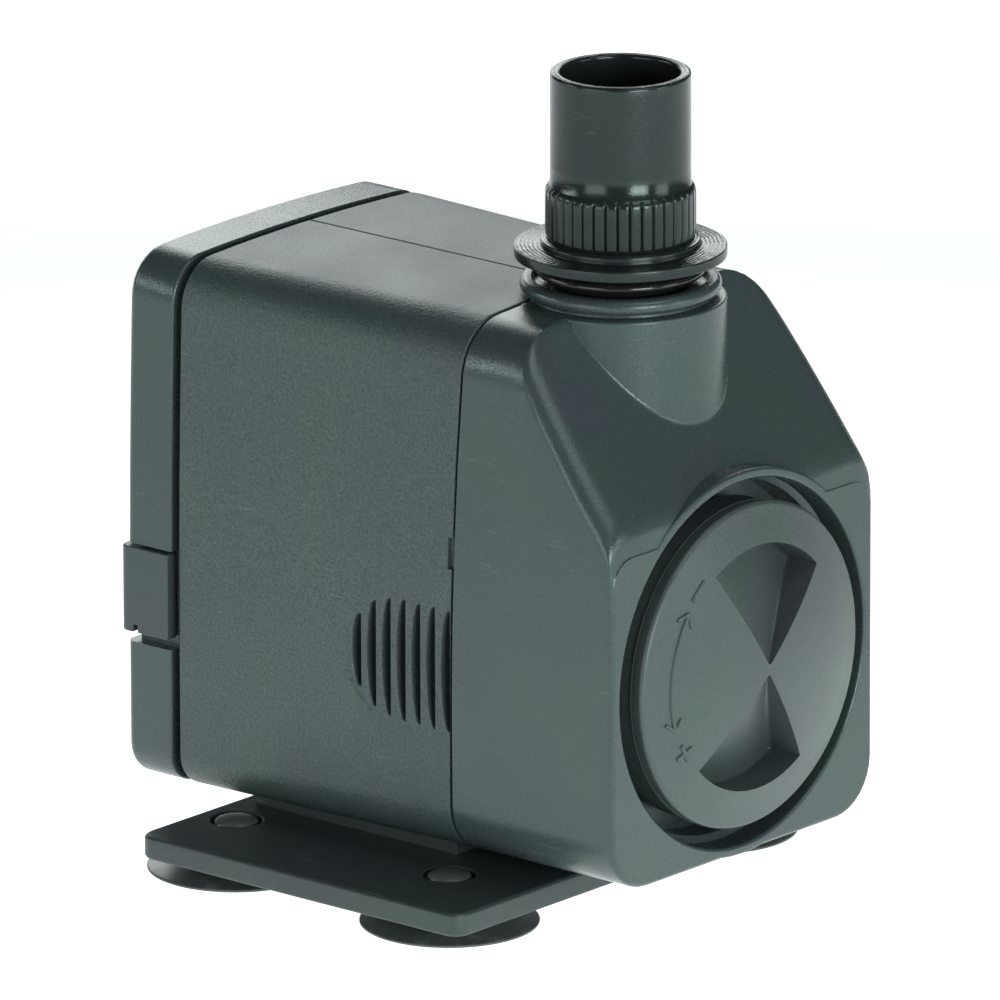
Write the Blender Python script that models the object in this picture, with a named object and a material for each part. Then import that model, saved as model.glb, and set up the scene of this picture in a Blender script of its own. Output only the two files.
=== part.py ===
"""Submersible fountain pump with a flow dial, a snap-on front cover and a swivelling hose tail.

Frame: metres, +Z up. The dial faces -Y, X = 0 is the plane of symmetry, Z = 0 is the plane that the
suction cups stand on. Sizes below are in millimetres and become metres where a mesh is made.
"""
import math

import bmesh
import bpy
from mathutils import Matrix, Vector

MM = 0.001
GAP = 0.3                      # clearance between pieces that touch or fit into each other

# Body: the outline that the front cover, motor housing and rear cover share
BODY_HALF_WIDTH = 27.3         # at the lower half, where the sides are straight
BODY_BOTTOM = 8.9
BODY_TOP = 82.9                # at the top corners; the middle is higher by CROWN
CROWN = 0.5
SIDE_STRAIGHT_TO = 30.0        # above this height the sides draw in
SIDE_DRAW_FRONT = 0.0012       # how fast they draw in at the seam, per mm squared
SIDE_DRAW_REAR = 0.0004        # and at the rear
NOSE_STRAIGHT_TO = 55.0        # the same at the front of the front cover
NOSE_DRAW = 0.0031
NOSE_BLEND = 14.0              # over this length ahead of the seam the one becomes the other
TOP_RADIUS_FRONT = 8.0
TOP_RADIUS_REAR = 6.5
BOTTOM_RADIUS_FRONT = 7.5
BOTTOM_RADIUS_REAR = 5.0
WALL = 2.2

# Stations along Y
FRONT_Y = -43.5
SEAM_Y = -13.9
HOUSING_REAR_Y = 33.5
CAP_FRONT_Y = 34.8
CAP_REAR_Y = 43.0
CAP_REAR_EDGE = 1.6
FRONT_EDGE = 0.8               # rounding between the front face and the sides
SEAM_EDGE = 0.4                # rounding of the shells' edges along the seam

# Sloped face of the front cover
SLOPE_FOOT = 58.3              # height at which its plane would meet the front face
SLOPE_RUN = 0.769              # mm back for each mm up
SLOPE_ANGLE = math.atan(SLOPE_RUN)
FOOT_RADIUS = 8.2              # rounding between the sloped and the front face
SLOPE_FILLET = 4.2

# Outlet
PIPE_Y = -22.0
BOSS_R = 14.3
BOSS_FOOT = 65.6               # below the lowest point of its line with the sloped face
BOSS_TOP = 83.1
BEAD_R = 13.6
BEAD_TOP = 85.8
RECESS_R = 11.9                # recess in the top of the bead for the seal
SOCKET_R = 6.8
SPIGOT_R = SOCKET_R - GAP
PIPE_R = 9.5
PIPE_BORE_R = 8.0
PIPE_TOP = 114.1
FLANGE_R = 14.33
FLANGE_TOP = 90.1
FLANGE_THICK = 1.5
KNURL_R = 10.14
KNURL_BOTTOM = 91.5
KNURL_TOP = 98.5
KNURL_RIBS = 38
OUTLET_SEAL_R = 10.7
OUTLET_SEAL_H = 86.75

# Rotor axis and flow dial
AXIS_H = 35.5
OPENING_R = 25.4
COLLAR_R = 26.8
DIAL_R = 22.5
DIAL_EDGE_Y = FRONT_Y - 1.3    # the rim of the dial stands proud of the front face
DIAL_CROWN = 3.3               # and the middle stands proud of the rim
DIAL_THICK = 7.0
DIAL_TURN = math.radians(7.5)  # the dial's rest position, clockwise from upright
DIAL_HUB_R = 4.0
POCKET_R = 17.0
POCKET_HALF_ANGLE = math.radians(39)
POCKET_DEPTH = 5.6             # at the rim; the floor climbs to the face at the middle
POCKET_APEX = 0.5              # how far from the middle a pocket's point lies
DIAL_WALL_Y = -34.6            # front of the wall behind the dial
DIAL_WALL = 1.6

# Impeller chamber, rotor and motor
CHAMBER_FRONT_Y = -29.5
CHAMBER_R = 18.2
CHAMBER_WALL = 2.0
CHAMBER_REAR_Y = -17.0
WINDOW_R = (5.4, 12.0)         # inner and outer radius of the chamber's inlet windows
WINDOW_HALF_ANGLE = 42.0
SPOUT_R = 6.2
SOCKET_FOOT = 60.0             # lower end of the outlet socket inside the cover
BUSH_SEAT_R = 2.9
BULKHEAD_Y = 4.6
BULKHEAD = 1.6
WELL_R = 12.0
WELL_WALL = 1.3
WELL_REAR_Y = 28.7
WELL_MOUTH_Y = -14.9
SHAFT_R = 1.5
SHAFT_FRONT_Y = -27.8
SHAFT_REAR_Y = 27.6
MAGNET_R = 11.2
MAGNET_Y = (6.9, 24.6)
CORE_Y = (11.2, 23.2)
CORE_HALF = 22.0
LEG_X = (8.0, 18.0)
COIL_H = (54.0, 67.6)
COIL_THICK = 3.1

# Feet
PLATE_HALF_X = 40.7
PLATE_Y = (-27.8, 29.3)
PLATE_H = (3.3, 6.65)
PLATE_CORNER = 2.5
CUP_X = 27.2
CUP_Y = (-14.8, 23.3)
CUP_R = 12.16

# Snap clip and cable gland at the back
CLIP_H = (29.8, 41.9)
CLIP_PROUD = 0.6
CLIP_SINK = 1.7                # depth of the channel in the rear cover's sides
CLIP_SINK_BACK = 1.4           # and in its back
CLIP_RELEASE = 1.5             # room under the clip for a finger or a blade
GLAND_H = 66.0
GLAND_REAR_Y = 48.1

# Intake slots, from the seam backwards: half heights of the openings in each side wall
SLOT_PITCH = 2.62
SLOT_FIRST_Y = SEAM_Y + 1.1
SLOT_WIDTH = 1.5
SLOT_HALF_HEIGHTS = (8.3, 8.4, 8.3, 8.4, 8.1, 7.3, 5.0)

FINISHES = {
    "black_satin": ((0.020, 0.023, 0.023), 0.42, 0.0),
    "black_matte": ((0.028, 0.031, 0.031), 0.60, 0.0),
    "rubber": ((0.012, 0.012, 0.012), 0.75, 0.0),
    "inner_plastic": ((0.060, 0.062, 0.064), 0.50, 0.0),
    "bobbin_plastic": ((0.62, 0.60, 0.54), 0.45, 0.0),
    "copper": ((0.72, 0.30, 0.12), 0.30, 1.0),
    "steel": ((0.42, 0.43, 0.45), 0.40, 1.0),
    "ferrite": ((0.045, 0.042, 0.042), 0.50, 0.1),
    "ceramic": ((0.80, 0.79, 0.75), 0.25, 0.0),
    "resin": ((0.075, 0.050, 0.035), 0.25, 0.0),
}


# The exact solver leaves open edges where the front cover's collar and boss meet its thin walls
MANIFOLD_NODES = {"front_cover"}


def clear_scene():
    for old in list(bpy.data.objects):
        bpy.data.objects.remove(old, do_unlink=True)


def finish_material(name):
    material = bpy.data.materials.get(name)
    if material:
        return material
    colour, roughness, metallic = FINISHES[name]
    material = bpy.data.materials.new(name)
    material.use_nodes = True
    shader = material.node_tree.nodes["Principled BSDF"]
    shader.inputs["Base Color"].default_value = (*colour, 1.0)
    shader.inputs["Roughness"].default_value = roughness
    shader.inputs["Metallic"].default_value = metallic
    return material


def add_object(name, bm, finish, origin=(0.0, 0.0, 0.0)):
    """Turn a bmesh in millimetres into an object in metres with its origin at the given point."""
    bmesh.ops.remove_doubles(bm, verts=bm.verts, dist=0.002)
    bmesh.ops.recalc_face_normals(bm, faces=bm.faces)
    bmesh.ops.translate(bm, verts=bm.verts, vec=-Vector(origin))
    bmesh.ops.scale(bm, verts=bm.verts, vec=(MM, MM, MM))
    mesh = bpy.data.meshes.new(name)
    bm.to_mesh(mesh)
    bm.free()
    mesh.shade_smooth()
    mesh.set_sharp_from_angle(angle=math.radians(32))
    obj = bpy.data.objects.new(name, mesh)
    obj.location = Vector(origin) * MM
    bpy.context.scene.collection.objects.link(obj)
    mesh.materials.append(finish_material(finish))
    return obj


def add_cutter(name, bm):
    cutter = add_object(name, bm, "inner_plastic")
    cutter.hide_render = True
    cutter.display_type = 'WIRE'
    return cutter


def combine(target, other, operation):
    modifier = target.modifiers.new(other.name, 'BOOLEAN')
    modifier.operation = operation
    modifier.solver = 'MANIFOLD' if target.name in MANIFOLD_NODES else 'EXACT'
    modifier.object = other


def cut(target, name, bm):
    combine(target, add_cutter(name, bm), 'DIFFERENCE')


def join(target, name, bm):
    combine(target, add_cutter(name, bm), 'UNION')


# Shapes: every function returns a bmesh in millimetres

def loft(rings):
    """A closed body through rings of equal length, capped at both ends."""
    bm = bmesh.new()
    levels = [[bm.verts.new(point) for point in ring] for ring in rings]
    count = len(levels[0])
    for low, high in zip(levels, levels[1:]):
        for i in range(count):
            j = (i + 1) % count
            bm.faces.new((low[i], low[j], high[j], high[i]))
    bm.faces.new(levels[0])
    bm.faces.new(levels[-1])
    return bm


def facets(radius):
    """How many sides a round shape of this radius gets."""
    for least, sides in ((20.0, 48), (9.0, 32), (6.0, 24), (3.0, 18)):
        if radius >= least:
            return sides
    return 12


def lathe(profile, centre=(0.0, 0.0), along='Z'):
    """Turn a closed profile of (radius, height) points about an axis through centre.

    Along Z the centre is (x, y); along Y it is (x, z), and the profile's heights are Y.
    """
    steps = facets(max(radius for radius, height in profile))
    bm = bmesh.new()
    rings = []
    for step in range(steps):
        angle = 2 * math.pi * step / steps
        ring = []
        for radius, height in profile:
            u = centre[0] + radius * math.cos(angle)
            v = centre[1] + radius * math.sin(angle)
            ring.append(bm.verts.new((u, v, height) if along == 'Z' else (u, height, v)))
        rings.append(ring)
    count = len(profile)
    for step in range(steps):
        here, there = rings[step], rings[(step + 1) % steps]
        for i in range(count):
            j = (i + 1) % count
            if profile[i][0] > 0 or profile[j][0] > 0:
                bm.faces.new((here[i], here[j], there[j], there[i]))
    bmesh.ops.remove_doubles(bm, verts=bm.verts, dist=0.001)
    return bm


def rod(radius, start, end, centre=(0.0, 0.0), along='Z'):
    return lathe([(0, start), (radius, start), (radius, end), (0, end)], centre, along)


def tube(outer, inner, start, end, centre=(0.0, 0.0), along='Z'):
    return lathe([(inner, start), (outer, start), (outer, end), (inner, end)], centre, along)


def ring_seal(major, minor, height, centre, along='Z', sides=6):
    turns = [2 * math.pi * i / sides for i in range(sides)]
    profile = [(major + minor * math.cos(t), height + minor * math.sin(t)) for t in turns]
    return lathe(profile, centre, along)


def block(low, high):
    bm = bmesh.new()
    bmesh.ops.create_cube(bm, size=1.0)
    size = [b - a for a, b in zip(low, high)]
    middle = [(a + b) / 2 for a, b in zip(low, high)]
    bmesh.ops.scale(bm, verts=bm.verts, vec=size)
    bmesh.ops.translate(bm, verts=bm.verts, vec=middle)
    return bm


def prism(outline, start, end):
    """Extrude an outline of (x, z) points along Y."""
    return loft([[(x, y, z) for x, z in outline] for y in (start, end)])


def plan_prism(outline, start, end):
    """Extrude an outline of (x, y) points along Z."""
    return loft([[(x, y, z) for x, y in outline] for z in (start, end)])


def merged(*parts):
    """Several separate closed bodies as one bmesh."""
    bm = bmesh.new()
    for part in parts:
        mesh = bpy.data.meshes.new("merge")
        part.to_mesh(mesh)
        part.free()
        bm.from_mesh(mesh)
        bpy.data.meshes.remove(mesh)
    return bm


def arc(centre, radius, start, end, segments):
    points = []
    for i in range(segments + 1):
        t = math.radians(start + (end - start) * i / segments)
        points.append((centre[0] + radius * math.cos(t), centre[1] + radius * math.sin(t)))
    return points


def rounded_rectangle(x, y, radius, segments=4):
    corners = [((x[1] - radius, y[1] - radius), 0), ((x[0] + radius, y[1] - radius), 90),
               ((x[0] + radius, y[0] + radius), 180), ((x[1] - radius, y[0] + radius), 270)]
    outline = []
    for centre, start in corners:
        outline += arc(centre, radius, start, start + 90, segments)
    return outline


# The body's outline

def rear_share(y):
    """0 at the seam and in front of it, 1 at the rear of the housing."""
    return min(1.0, max(0.0, (y - SEAM_Y) / (HOUSING_REAR_Y - SEAM_Y)))


def between(front, rear, y):
    return front + (rear - front) * rear_share(y)


def half_width(y, height):
    draw = between(SIDE_DRAW_FRONT, SIDE_DRAW_REAR, y)
    drawn = draw * max(0.0, height - SIDE_STRAIGHT_TO) ** 2
    nose_drawn = NOSE_DRAW * max(0.0, height - NOSE_STRAIGHT_TO) ** 2
    nose = min(1.0, max(0.0, (SEAM_Y - y) / NOSE_BLEND))
    return BODY_HALF_WIDTH - drawn * (1 - nose) - nose_drawn * nose


def slope_height(y, inset=0.0):
    """Height of the sloped face at y, for the skin or for a surface inset from it."""
    radius, reach = FOOT_RADIUS - inset, FRONT_Y + FOOT_RADIUS - y
    if reach > radius * math.cos(SLOPE_ANGLE):
        foot = SLOPE_FOOT - FOOT_RADIUS * math.tan(SLOPE_ANGLE / 2)
        return foot + math.sqrt(max(0.0, radius ** 2 - reach ** 2))
    return SLOPE_FOOT + (y - FRONT_Y) / SLOPE_RUN - inset / math.sin(SLOPE_ANGLE)


def body_ring(y, inset=0.0, sloped=False):
    """The body's outline at y, inset from the skin, and cut by the sloped face if it has one."""
    bottom = BODY_BOTTOM + inset
    low_r = max(0.8, between(BOTTOM_RADIUS_FRONT, BOTTOM_RADIUS_REAR, y) - inset)
    top_r = max(0.8, between(TOP_RADIUS_FRONT, TOP_RADIUS_REAR, y) - inset)
    low_centre = (half_width(y, bottom) - inset - low_r, bottom + low_r)
    top_centre_h = BODY_TOP - inset - top_r
    top_centre = (half_width(y, top_centre_h) - inset - top_r, top_centre_h)
    crown_h = BODY_TOP - inset + CROWN
    flat = slope_height(y, inset) if sloped else 2 * BODY_TOP
    fillet = max(0.6, SLOPE_FILLET - inset)
    fillet_h = min(flat, BODY_TOP - inset) - fillet
    if fillet_h <= top_centre[1]:
        side_end, turn = fillet_h, 0.0
        fillet_x = half_width(y, fillet_h) - inset - fillet
    else:
        side_end = top_centre[1]
        rise = min(fillet_h - top_centre[1], top_r - fillet)
        fillet_x = top_centre[0] + math.sqrt((top_r - fillet) ** 2 - rise ** 2)
        turn = math.degrees(math.atan2(rise, fillet_x - top_centre[0]))
    right = arc(low_centre, low_r, -90, 0, 4)
    for height in (SIDE_STRAIGHT_TO, 45.0, (45.0 + side_end) / 2, side_end):
        right.append((half_width(y, height) - inset, height))
    if turn > 0:
        right += arc(top_centre, top_r, 0, turn, 4)[1:]
    else:
        right += [right[-1]] * 4
    right += arc((fillet_x, fillet_h), fillet, turn, 90, 2)[1:]
    top_h = right[-1][1]
    rise = max(0.0, min(flat, crown_h) - top_h)
    right.append((fillet_x * 0.5, top_h + rise * 0.75))
    middle_top = (0.0, top_h + rise)
    left = [(-x, z) for x, z in reversed(right)]
    return [(x, y, z) for x, z in right + [middle_top] + left]


def body_loft(stations, sloped=False):
    """A solid with the body's outline through stations of (y, inset)."""
    bm = loft([body_ring(y, inset, sloped) for y, inset in stations])
    sides = [face for face in bm.faces if len(face.verts) == 4]
    bmesh.ops.triangulate(bm, faces=sides)
    return bm


def edge_stations(y, radius, inwards):
    """Stations that round an end edge; inwards is +1 where the body lies at larger y."""
    stations = []
    for degrees in (90, 45, 0):
        t = math.radians(degrees)
        stations.append((y + inwards * radius * (1 - math.sin(t)), radius * (1 - math.cos(t))))
    return stations if inwards > 0 else stations[::-1]


# Front cover and what rides on it

def build_front_cover():
    crest = FRONT_Y + (BODY_TOP + CROWN - SLOPE_FOOT) * SLOPE_RUN
    slope = [crest - d for d in (14.0, 7.5, 5.2, 3.6, 2.2, 1.0, 0.0)]
    front = edge_stations(FRONT_Y, FRONT_EDGE, 1)
    back = edge_stations(SEAM_Y - GAP / 2, SEAM_EDGE, -1)
    cover = add_object("front_cover", body_loft(
        front + [(FRONT_Y + 1.75, 0.0)] + [(y, 0.0) for y in slope] + [(crest + 2.0, 0.0)] + back, True),
        "black_satin", (0.0, SEAM_Y, AXIS_H))
    hollow = [(FRONT_Y + WALL, WALL)] + [(y + 1.4, WALL) for y in slope]
    cut(cover, "cover_hollow", body_loft(hollow + [(SEAM_Y + 2.0, WALL)], True))

    axis = (0.0, AXIS_H)
    wall_rear = DIAL_WALL_Y + DIAL_WALL
    lip_y = FRONT_Y + 4.5
    cut(cover, "collar_seat", rod((OPENING_R + COLLAR_R) / 2, FRONT_Y - 3.0, wall_rear - 0.5, axis, 'Y'))
    join(cover, "dial_collar", lathe(
        [(COLLAR_R, FRONT_Y + 0.2), (COLLAR_R, wall_rear), (DIAL_HUB_R + GAP, wall_rear),
         (DIAL_HUB_R + GAP, DIAL_WALL_Y), (OPENING_R - 1.0, DIAL_WALL_Y), (OPENING_R - 1.0, lip_y),
         (OPENING_R, lip_y - 0.5), (OPENING_R, FRONT_Y + 0.2)], axis, 'Y'))

    centre = (0.0, PIPE_Y)
    bead_r = (BEAD_TOP - BOSS_TOP - 0.8) / 2
    bead = arc((BEAD_R - bead_r, BEAD_TOP - bead_r), bead_r, -90, 90, 4)
    sleeve = SOCKET_R + 1.1
    recess = BEAD_TOP - 1.0
    boss = [(0, SOCKET_FOOT), (sleeve, SOCKET_FOOT), (sleeve, BOSS_FOOT - 0.6), (BOSS_R, BOSS_FOOT),
            (BOSS_R, BOSS_TOP), (BEAD_R - bead_r, BOSS_TOP)]
    join(cover, "outlet_boss", lathe(
        boss + bead + [(RECESS_R, BEAD_TOP), (RECESS_R, recess), (0, recess)], centre))
    cut(cover, "boss_back", block((-20, SEAM_Y - GAP / 2, 50), (20, SEAM_Y + 12, BODY_TOP + CROWN + GAP)))
    cut(cover, "socket_bore", rod(SOCKET_R, SOCKET_FOOT - 2, BEAD_TOP + 1, centre))
    return cover


def build_impeller_chamber():
    """The volute: a cup open to the rear, with two inlet windows and a spout up into the boss."""
    axis = (0.0, AXIS_H)
    inner = CHAMBER_R - CHAMBER_WALL
    floor = CHAMBER_FRONT_Y + 1.8
    cup = [(0, CHAMBER_FRONT_Y), (CHAMBER_R, CHAMBER_FRONT_Y), (CHAMBER_R, CHAMBER_REAR_Y),
           (inner, CHAMBER_REAR_Y), (inner, floor), (BUSH_SEAT_R + 1.5, floor),
           (BUSH_SEAT_R + 1.5, floor + 1.7), (BUSH_SEAT_R, floor + 1.7),
           (BUSH_SEAT_R, CHAMBER_FRONT_Y + 0.6), (0, CHAMBER_FRONT_Y + 0.6)]
    chamber = add_object("impeller_chamber", lathe(cup, axis, 'Y'), "inner_plastic",
                         (0.0, SEAM_Y, AXIS_H))
    spout = (0.0, (CHAMBER_FRONT_Y + CHAMBER_REAR_Y) / 2)
    join(chamber, "spout", rod(SPOUT_R, AXIS_H + inner + 0.6, SOCKET_FOOT - GAP, spout))
    cut(chamber, "spout_bore", rod(SPOUT_R - 1.3, AXIS_H + 12, SOCKET_FOOT + 1, spout))
    windows = [inlet_window(side, CHAMBER_FRONT_Y - 1, floor + 0.5) for side in (0, 180)]
    cut(chamber, "inlet_windows", merged(*windows))
    return chamber


def inlet_window(side, start, end):
    """A cutter for one of the two windows by which water enters the chamber; side is in degrees."""
    axis = (0.0, AXIS_H)
    outer = arc(axis, WINDOW_R[1], side - WINDOW_HALF_ANGLE, side + WINDOW_HALF_ANGLE, 6)
    inner = arc(axis, WINDOW_R[0], side + WINDOW_HALF_ANGLE, side - WINDOW_HALF_ANGLE, 4)
    return prism(outer + inner, start, end)


def dial_face_y(radius):
    """The dial's domed face."""
    return DIAL_EDGE_Y - DIAL_CROWN * (1 - (radius / (DIAL_R - 1.0)) ** 2)


def build_dial():
    axis = (0.0, AXIS_H)
    origin = (0.0, DIAL_EDGE_Y, AXIS_H)
    face = [(r, dial_face_y(r)) for r in (0, 5, 10, 15, 19)]
    rim = [(DIAL_R - 1 + math.sin(t), DIAL_EDGE_Y + 1 - math.cos(t)) for t in
           (math.radians(a) for a in (15, 50, 90))]
    back = DIAL_EDGE_Y + DIAL_THICK
    skirt = [(DIAL_R, DIAL_EDGE_Y + 2.2), (DIAL_R - 0.5, DIAL_EDGE_Y + 2.6), (DIAL_R - 0.5, back)]
    hub_rear = DIAL_WALL_Y + DIAL_WALL + 0.6
    stem = [(DIAL_HUB_R, back), (DIAL_HUB_R, hub_rear), (0, hub_rear)]
    dial = add_object("flow_dial", lathe(face + rim + skirt + stem, axis, 'Y'), "black_satin", origin)
    for side, turn in (("upper", 90.0), ("lower", 270.0)):
        middle = turn - math.degrees(DIAL_TURN)
        spread = math.degrees(POCKET_HALF_ANGLE)
        rim_points = arc((0.0, 0.0), POCKET_R, middle - spread, middle + spread, 8)
        apex = (POCKET_APEX * math.cos(math.radians(middle)), POCKET_APEX * math.sin(math.radians(middle)))
        front = FRONT_Y - 12
        floor_rim = dial_face_y(POCKET_R) + POCKET_DEPTH
        floor_apex = dial_face_y(0) + 0.3
        bm = bmesh.new()
        top = [bm.verts.new((x, front, AXIS_H + z)) for x, z in rim_points]
        low = [bm.verts.new((x, floor_rim, AXIS_H + z)) for x, z in rim_points]
        apex_top = bm.verts.new((apex[0], front, AXIS_H + apex[1]))
        apex_low = bm.verts.new((apex[0], floor_apex, AXIS_H + apex[1]))
        bm.faces.new(top + [apex_top])
        for i in range(len(top) - 1):
            bm.faces.new((top[i], top[i + 1], low[i + 1], low[i]))
            bm.faces.new((low[i], low[i + 1], apex_low))
        bm.faces.new((top[0], apex_top, apex_low, low[0]))
        bm.faces.new((top[-1], apex_top, apex_low, low[-1]))
        cut(dial, "pocket_" + side, bm)
    return dial


def build_flow_regulator():
    """The shutter on the dial's stem; its two windows pass over those of the impeller chamber."""
    front = DIAL_WALL_Y + DIAL_WALL + 0.9
    disc = add_object("flow_regulator", rod(WINDOW_R[1] + 1.0, front, front + 1.6, (0.0, AXIS_H), 'Y'),
                      "inner_plastic", (0.0, DIAL_EDGE_Y, AXIS_H))
    windows = [inlet_window(side, front - 1, front + 3) for side in (0, 180)]
    cut(disc, "regulator_windows", merged(*windows))
    return disc


def build_outlet_adapter():
    centre = (0.0, PIPE_Y)
    rim = 0.5
    profile = [(5.0, 76.0), (SPIGOT_R, 76.0), (SPIGOT_R, BEAD_TOP - 0.7), (9.3, BEAD_TOP - 0.7),
               (9.3, 88.0), (12.5, 88.0), (12.5, FLANGE_TOP - FLANGE_THICK),
               (FLANGE_R - 0.3, FLANGE_TOP - FLANGE_THICK), (FLANGE_R, FLANGE_TOP - FLANGE_THICK + 0.3),
               (FLANGE_R, FLANGE_TOP - 0.3), (FLANGE_R - 0.3, FLANGE_TOP), (10.8, FLANGE_TOP),
               (10.8, FLANGE_TOP + 0.8), (10.3, FLANGE_TOP + 1.3), (PIPE_R, FLANGE_TOP + 1.4),
               (PIPE_R, PIPE_TOP - rim), (PIPE_R - rim, PIPE_TOP), (PIPE_BORE_R + rim, PIPE_TOP),
               (PIPE_BORE_R, PIPE_TOP - rim), (PIPE_BORE_R, 92.0), (5.0, 88.0)]
    adapter = add_object("outlet_adapter", lathe(profile, centre), "black_satin",
                         (0.0, PIPE_Y, FLANGE_TOP))
    rings = []
    for height, share in ((KNURL_BOTTOM, 1.0), (KNURL_TOP - 1.2, 1.0), (KNURL_TOP, 0.0)):
        ring = []
        for rib in range(KNURL_RIBS):
            for place, level in ((0.0, 0.0), (0.4, 1.0), (0.75, 1.0)):
                angle = 2 * math.pi * (rib + place) / KNURL_RIBS
                radius = PIPE_R + 0.12 + (KNURL_R - PIPE_R - 0.12) * level * share
                ring.append((radius * math.cos(angle), PIPE_Y + radius * math.sin(angle), height))
        rings.append(ring)
    join(adapter, "knurled_collar", loft(rings))
    cut(adapter, "knurl_bore", rod(PIPE_R - 0.5, KNURL_BOTTOM - 0.5, KNURL_TOP + 0.5, centre))
    return adapter


# Motor unit

def build_motor_housing():
    front = edge_stations(SEAM_Y + GAP / 2, SEAM_EDGE, 1)
    rear = edge_stations(HOUSING_REAR_Y, SEAM_EDGE, -1)
    middle = [(y, 0.0) for y in (0.0, 14.0)]
    housing = add_object("motor_housing", body_loft(front + middle + rear), "black_matte")
    cut(housing, "intake_space", body_loft([(SEAM_Y - 2, WALL), (-4.0, WALL), (BULKHEAD_Y, WALL)]))
    for side in (-1, 1):
        cut(housing, "intake_slots_%s" % ("left" if side < 0 else "right"), intake_slots(side))
    stator_front = BULKHEAD_Y + BULKHEAD
    cut(housing, "stator_space", body_loft([(stator_front, WALL), (20.0, WALL), (HOUSING_REAR_Y + 2, WALL)]))
    axis = (0.0, AXIS_H)
    join(housing, "rotor_well", rod(WELL_R + WELL_WALL, WELL_MOUTH_Y, WELL_REAR_Y + WELL_WALL, axis, 'Y'))
    cut(housing, "rotor_well_bore", rod(WELL_R, SEAM_Y - 4, WELL_REAR_Y, axis, 'Y'))
    return housing


def intake_slots(side):
    """Cutters for the slots in one side wall; side is -1 or 1."""
    levels = sorted((side * (BODY_HALF_WIDTH - WALL - 1.5), side * (BODY_HALF_WIDTH + 1.5)))
    slots = []
    for number, half in enumerate(SLOT_HALF_HEIGHTS):
        outline = slot_outline(SLOT_FIRST_Y + SLOT_PITCH * number, half)
        slots.append(loft([[(x, y, z) for y, z in outline] for x in levels]))
    return merged(*slots)


def slot_outline(y, half):
    """A slot with one straight side and one bowed side, narrow at both ends."""
    bowed = []
    for i in range(5):
        t = math.pi * i / 4
        bowed.append((y + SLOT_WIDTH * (math.sin(t) - 0.3), AXIS_H - 0.5 + half * math.cos(t)))
    straight = y - SLOT_WIDTH * 0.5
    return [(straight, bowed[0][1])] + bowed + [(straight, bowed[-1][1])]


def build_rear_cover():
    rear = edge_stations(CAP_REAR_Y, CAP_REAR_EDGE, -1)
    front = edge_stations(CAP_FRONT_Y, 0.3, 1)
    cover = add_object("rear_cover", body_loft(front + rear), "black_satin")
    lip = WALL + GAP
    lip_front = HOUSING_REAR_Y - 2.2
    join(cover, "cover_lip", body_loft([(lip_front, lip), (CAP_FRONT_Y + 1, lip)]))
    cut(cover, "rear_hollow", body_loft([(lip_front - 1, lip + 1.4), (CAP_REAR_Y - 2.0, lip + 1.4)]))
    outer = BODY_HALF_WIDTH + 2
    deep = BODY_HALF_WIDTH - CLIP_SINK
    low, high = CLIP_H[0] - CLIP_RELEASE, CLIP_H[1] + GAP
    sides = [block((-outer, CAP_FRONT_Y - 0.5, low), (-deep, CAP_REAR_Y + 1, high)),
             block((deep, CAP_FRONT_Y - 0.5, low), (outer, CAP_REAR_Y + 1, high))]
    for name, bm in zip(("clip_channel_left", "clip_channel_right"), sides):
        cut(cover, name, bm)
    cut(cover, "clip_channel_back", block((-outer, CAP_REAR_Y - CLIP_SINK_BACK, low),
                                          (outer, CAP_REAR_Y + 1, high)))
    cut(cover, "gland_hole", rod(4.0, CAP_REAR_Y - 6, CAP_REAR_Y + 3, (0.0, GLAND_H), 'Y'))
    return cover


def build_rear_clip():
    """A strap across the back of the rear cover whose ends grip the housing's rear edge."""
    inner = BODY_HALF_WIDTH - CLIP_SINK + GAP
    inner_back = CAP_REAR_Y - CLIP_SINK_BACK + GAP
    outer = BODY_HALF_WIDTH + CLIP_PROUD
    back = CAP_REAR_Y + CLIP_PROUD
    front = CAP_FRONT_Y + 0.1
    rounding = CAP_REAR_EDGE
    outside = [(-outer, front)] + arc((-outer + rounding, back - rounding), rounding, 180, 90, 4)
    outside += arc((outer - rounding, back - rounding), rounding, 90, 0, 4) + [(outer, front)]
    inside = [(inner, front), (inner, inner_back), (-inner, inner_back), (-inner, front)]
    return add_object("rear_clip", plan_prism(outside + inside, *CLIP_H), "black_satin")


def build_cable_gland():
    """The inlet bush for the mains lead."""
    start = CAP_REAR_Y - 3.2
    flange = CAP_REAR_Y + GAP
    profile = [(2.3, start), (4.6, start), (4.6, CAP_REAR_Y - 2.0 - GAP), (3.7, CAP_REAR_Y - 2.0 - GAP),
               (3.7, flange), (5.2, flange), (5.2, flange + 1.3), (4.0, flange + 1.8),
               (3.4, GLAND_REAR_Y - 0.4), (3.0, GLAND_REAR_Y), (2.3, GLAND_REAR_Y)]
    return add_object("cable_gland", lathe(profile, (0.0, GLAND_H), 'Y'), "rubber")


def build_chamber_plate():
    """Closes the impeller chamber from behind and keeps the rotor in its well."""
    axis = (0.0, AXIS_H)
    front = CHAMBER_REAR_Y - 0.8
    profile = [(6.2, front), (15.8, front), (15.8, front + 0.7), (14.4, front + 0.7), (14.4, front + 1.9),
               (15.8, front + 1.9), (15.8, front + 2.6), (WELL_R - GAP, front + 2.6),
               (WELL_R - GAP, front + 7.0), (WELL_R - 1.8, front + 7.0), (WELL_R - 1.8, front + 2.6),
               (6.2, front + 2.6)]
    return add_object("chamber_plate", lathe(profile, axis, 'Y'), "inner_plastic")


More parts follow.
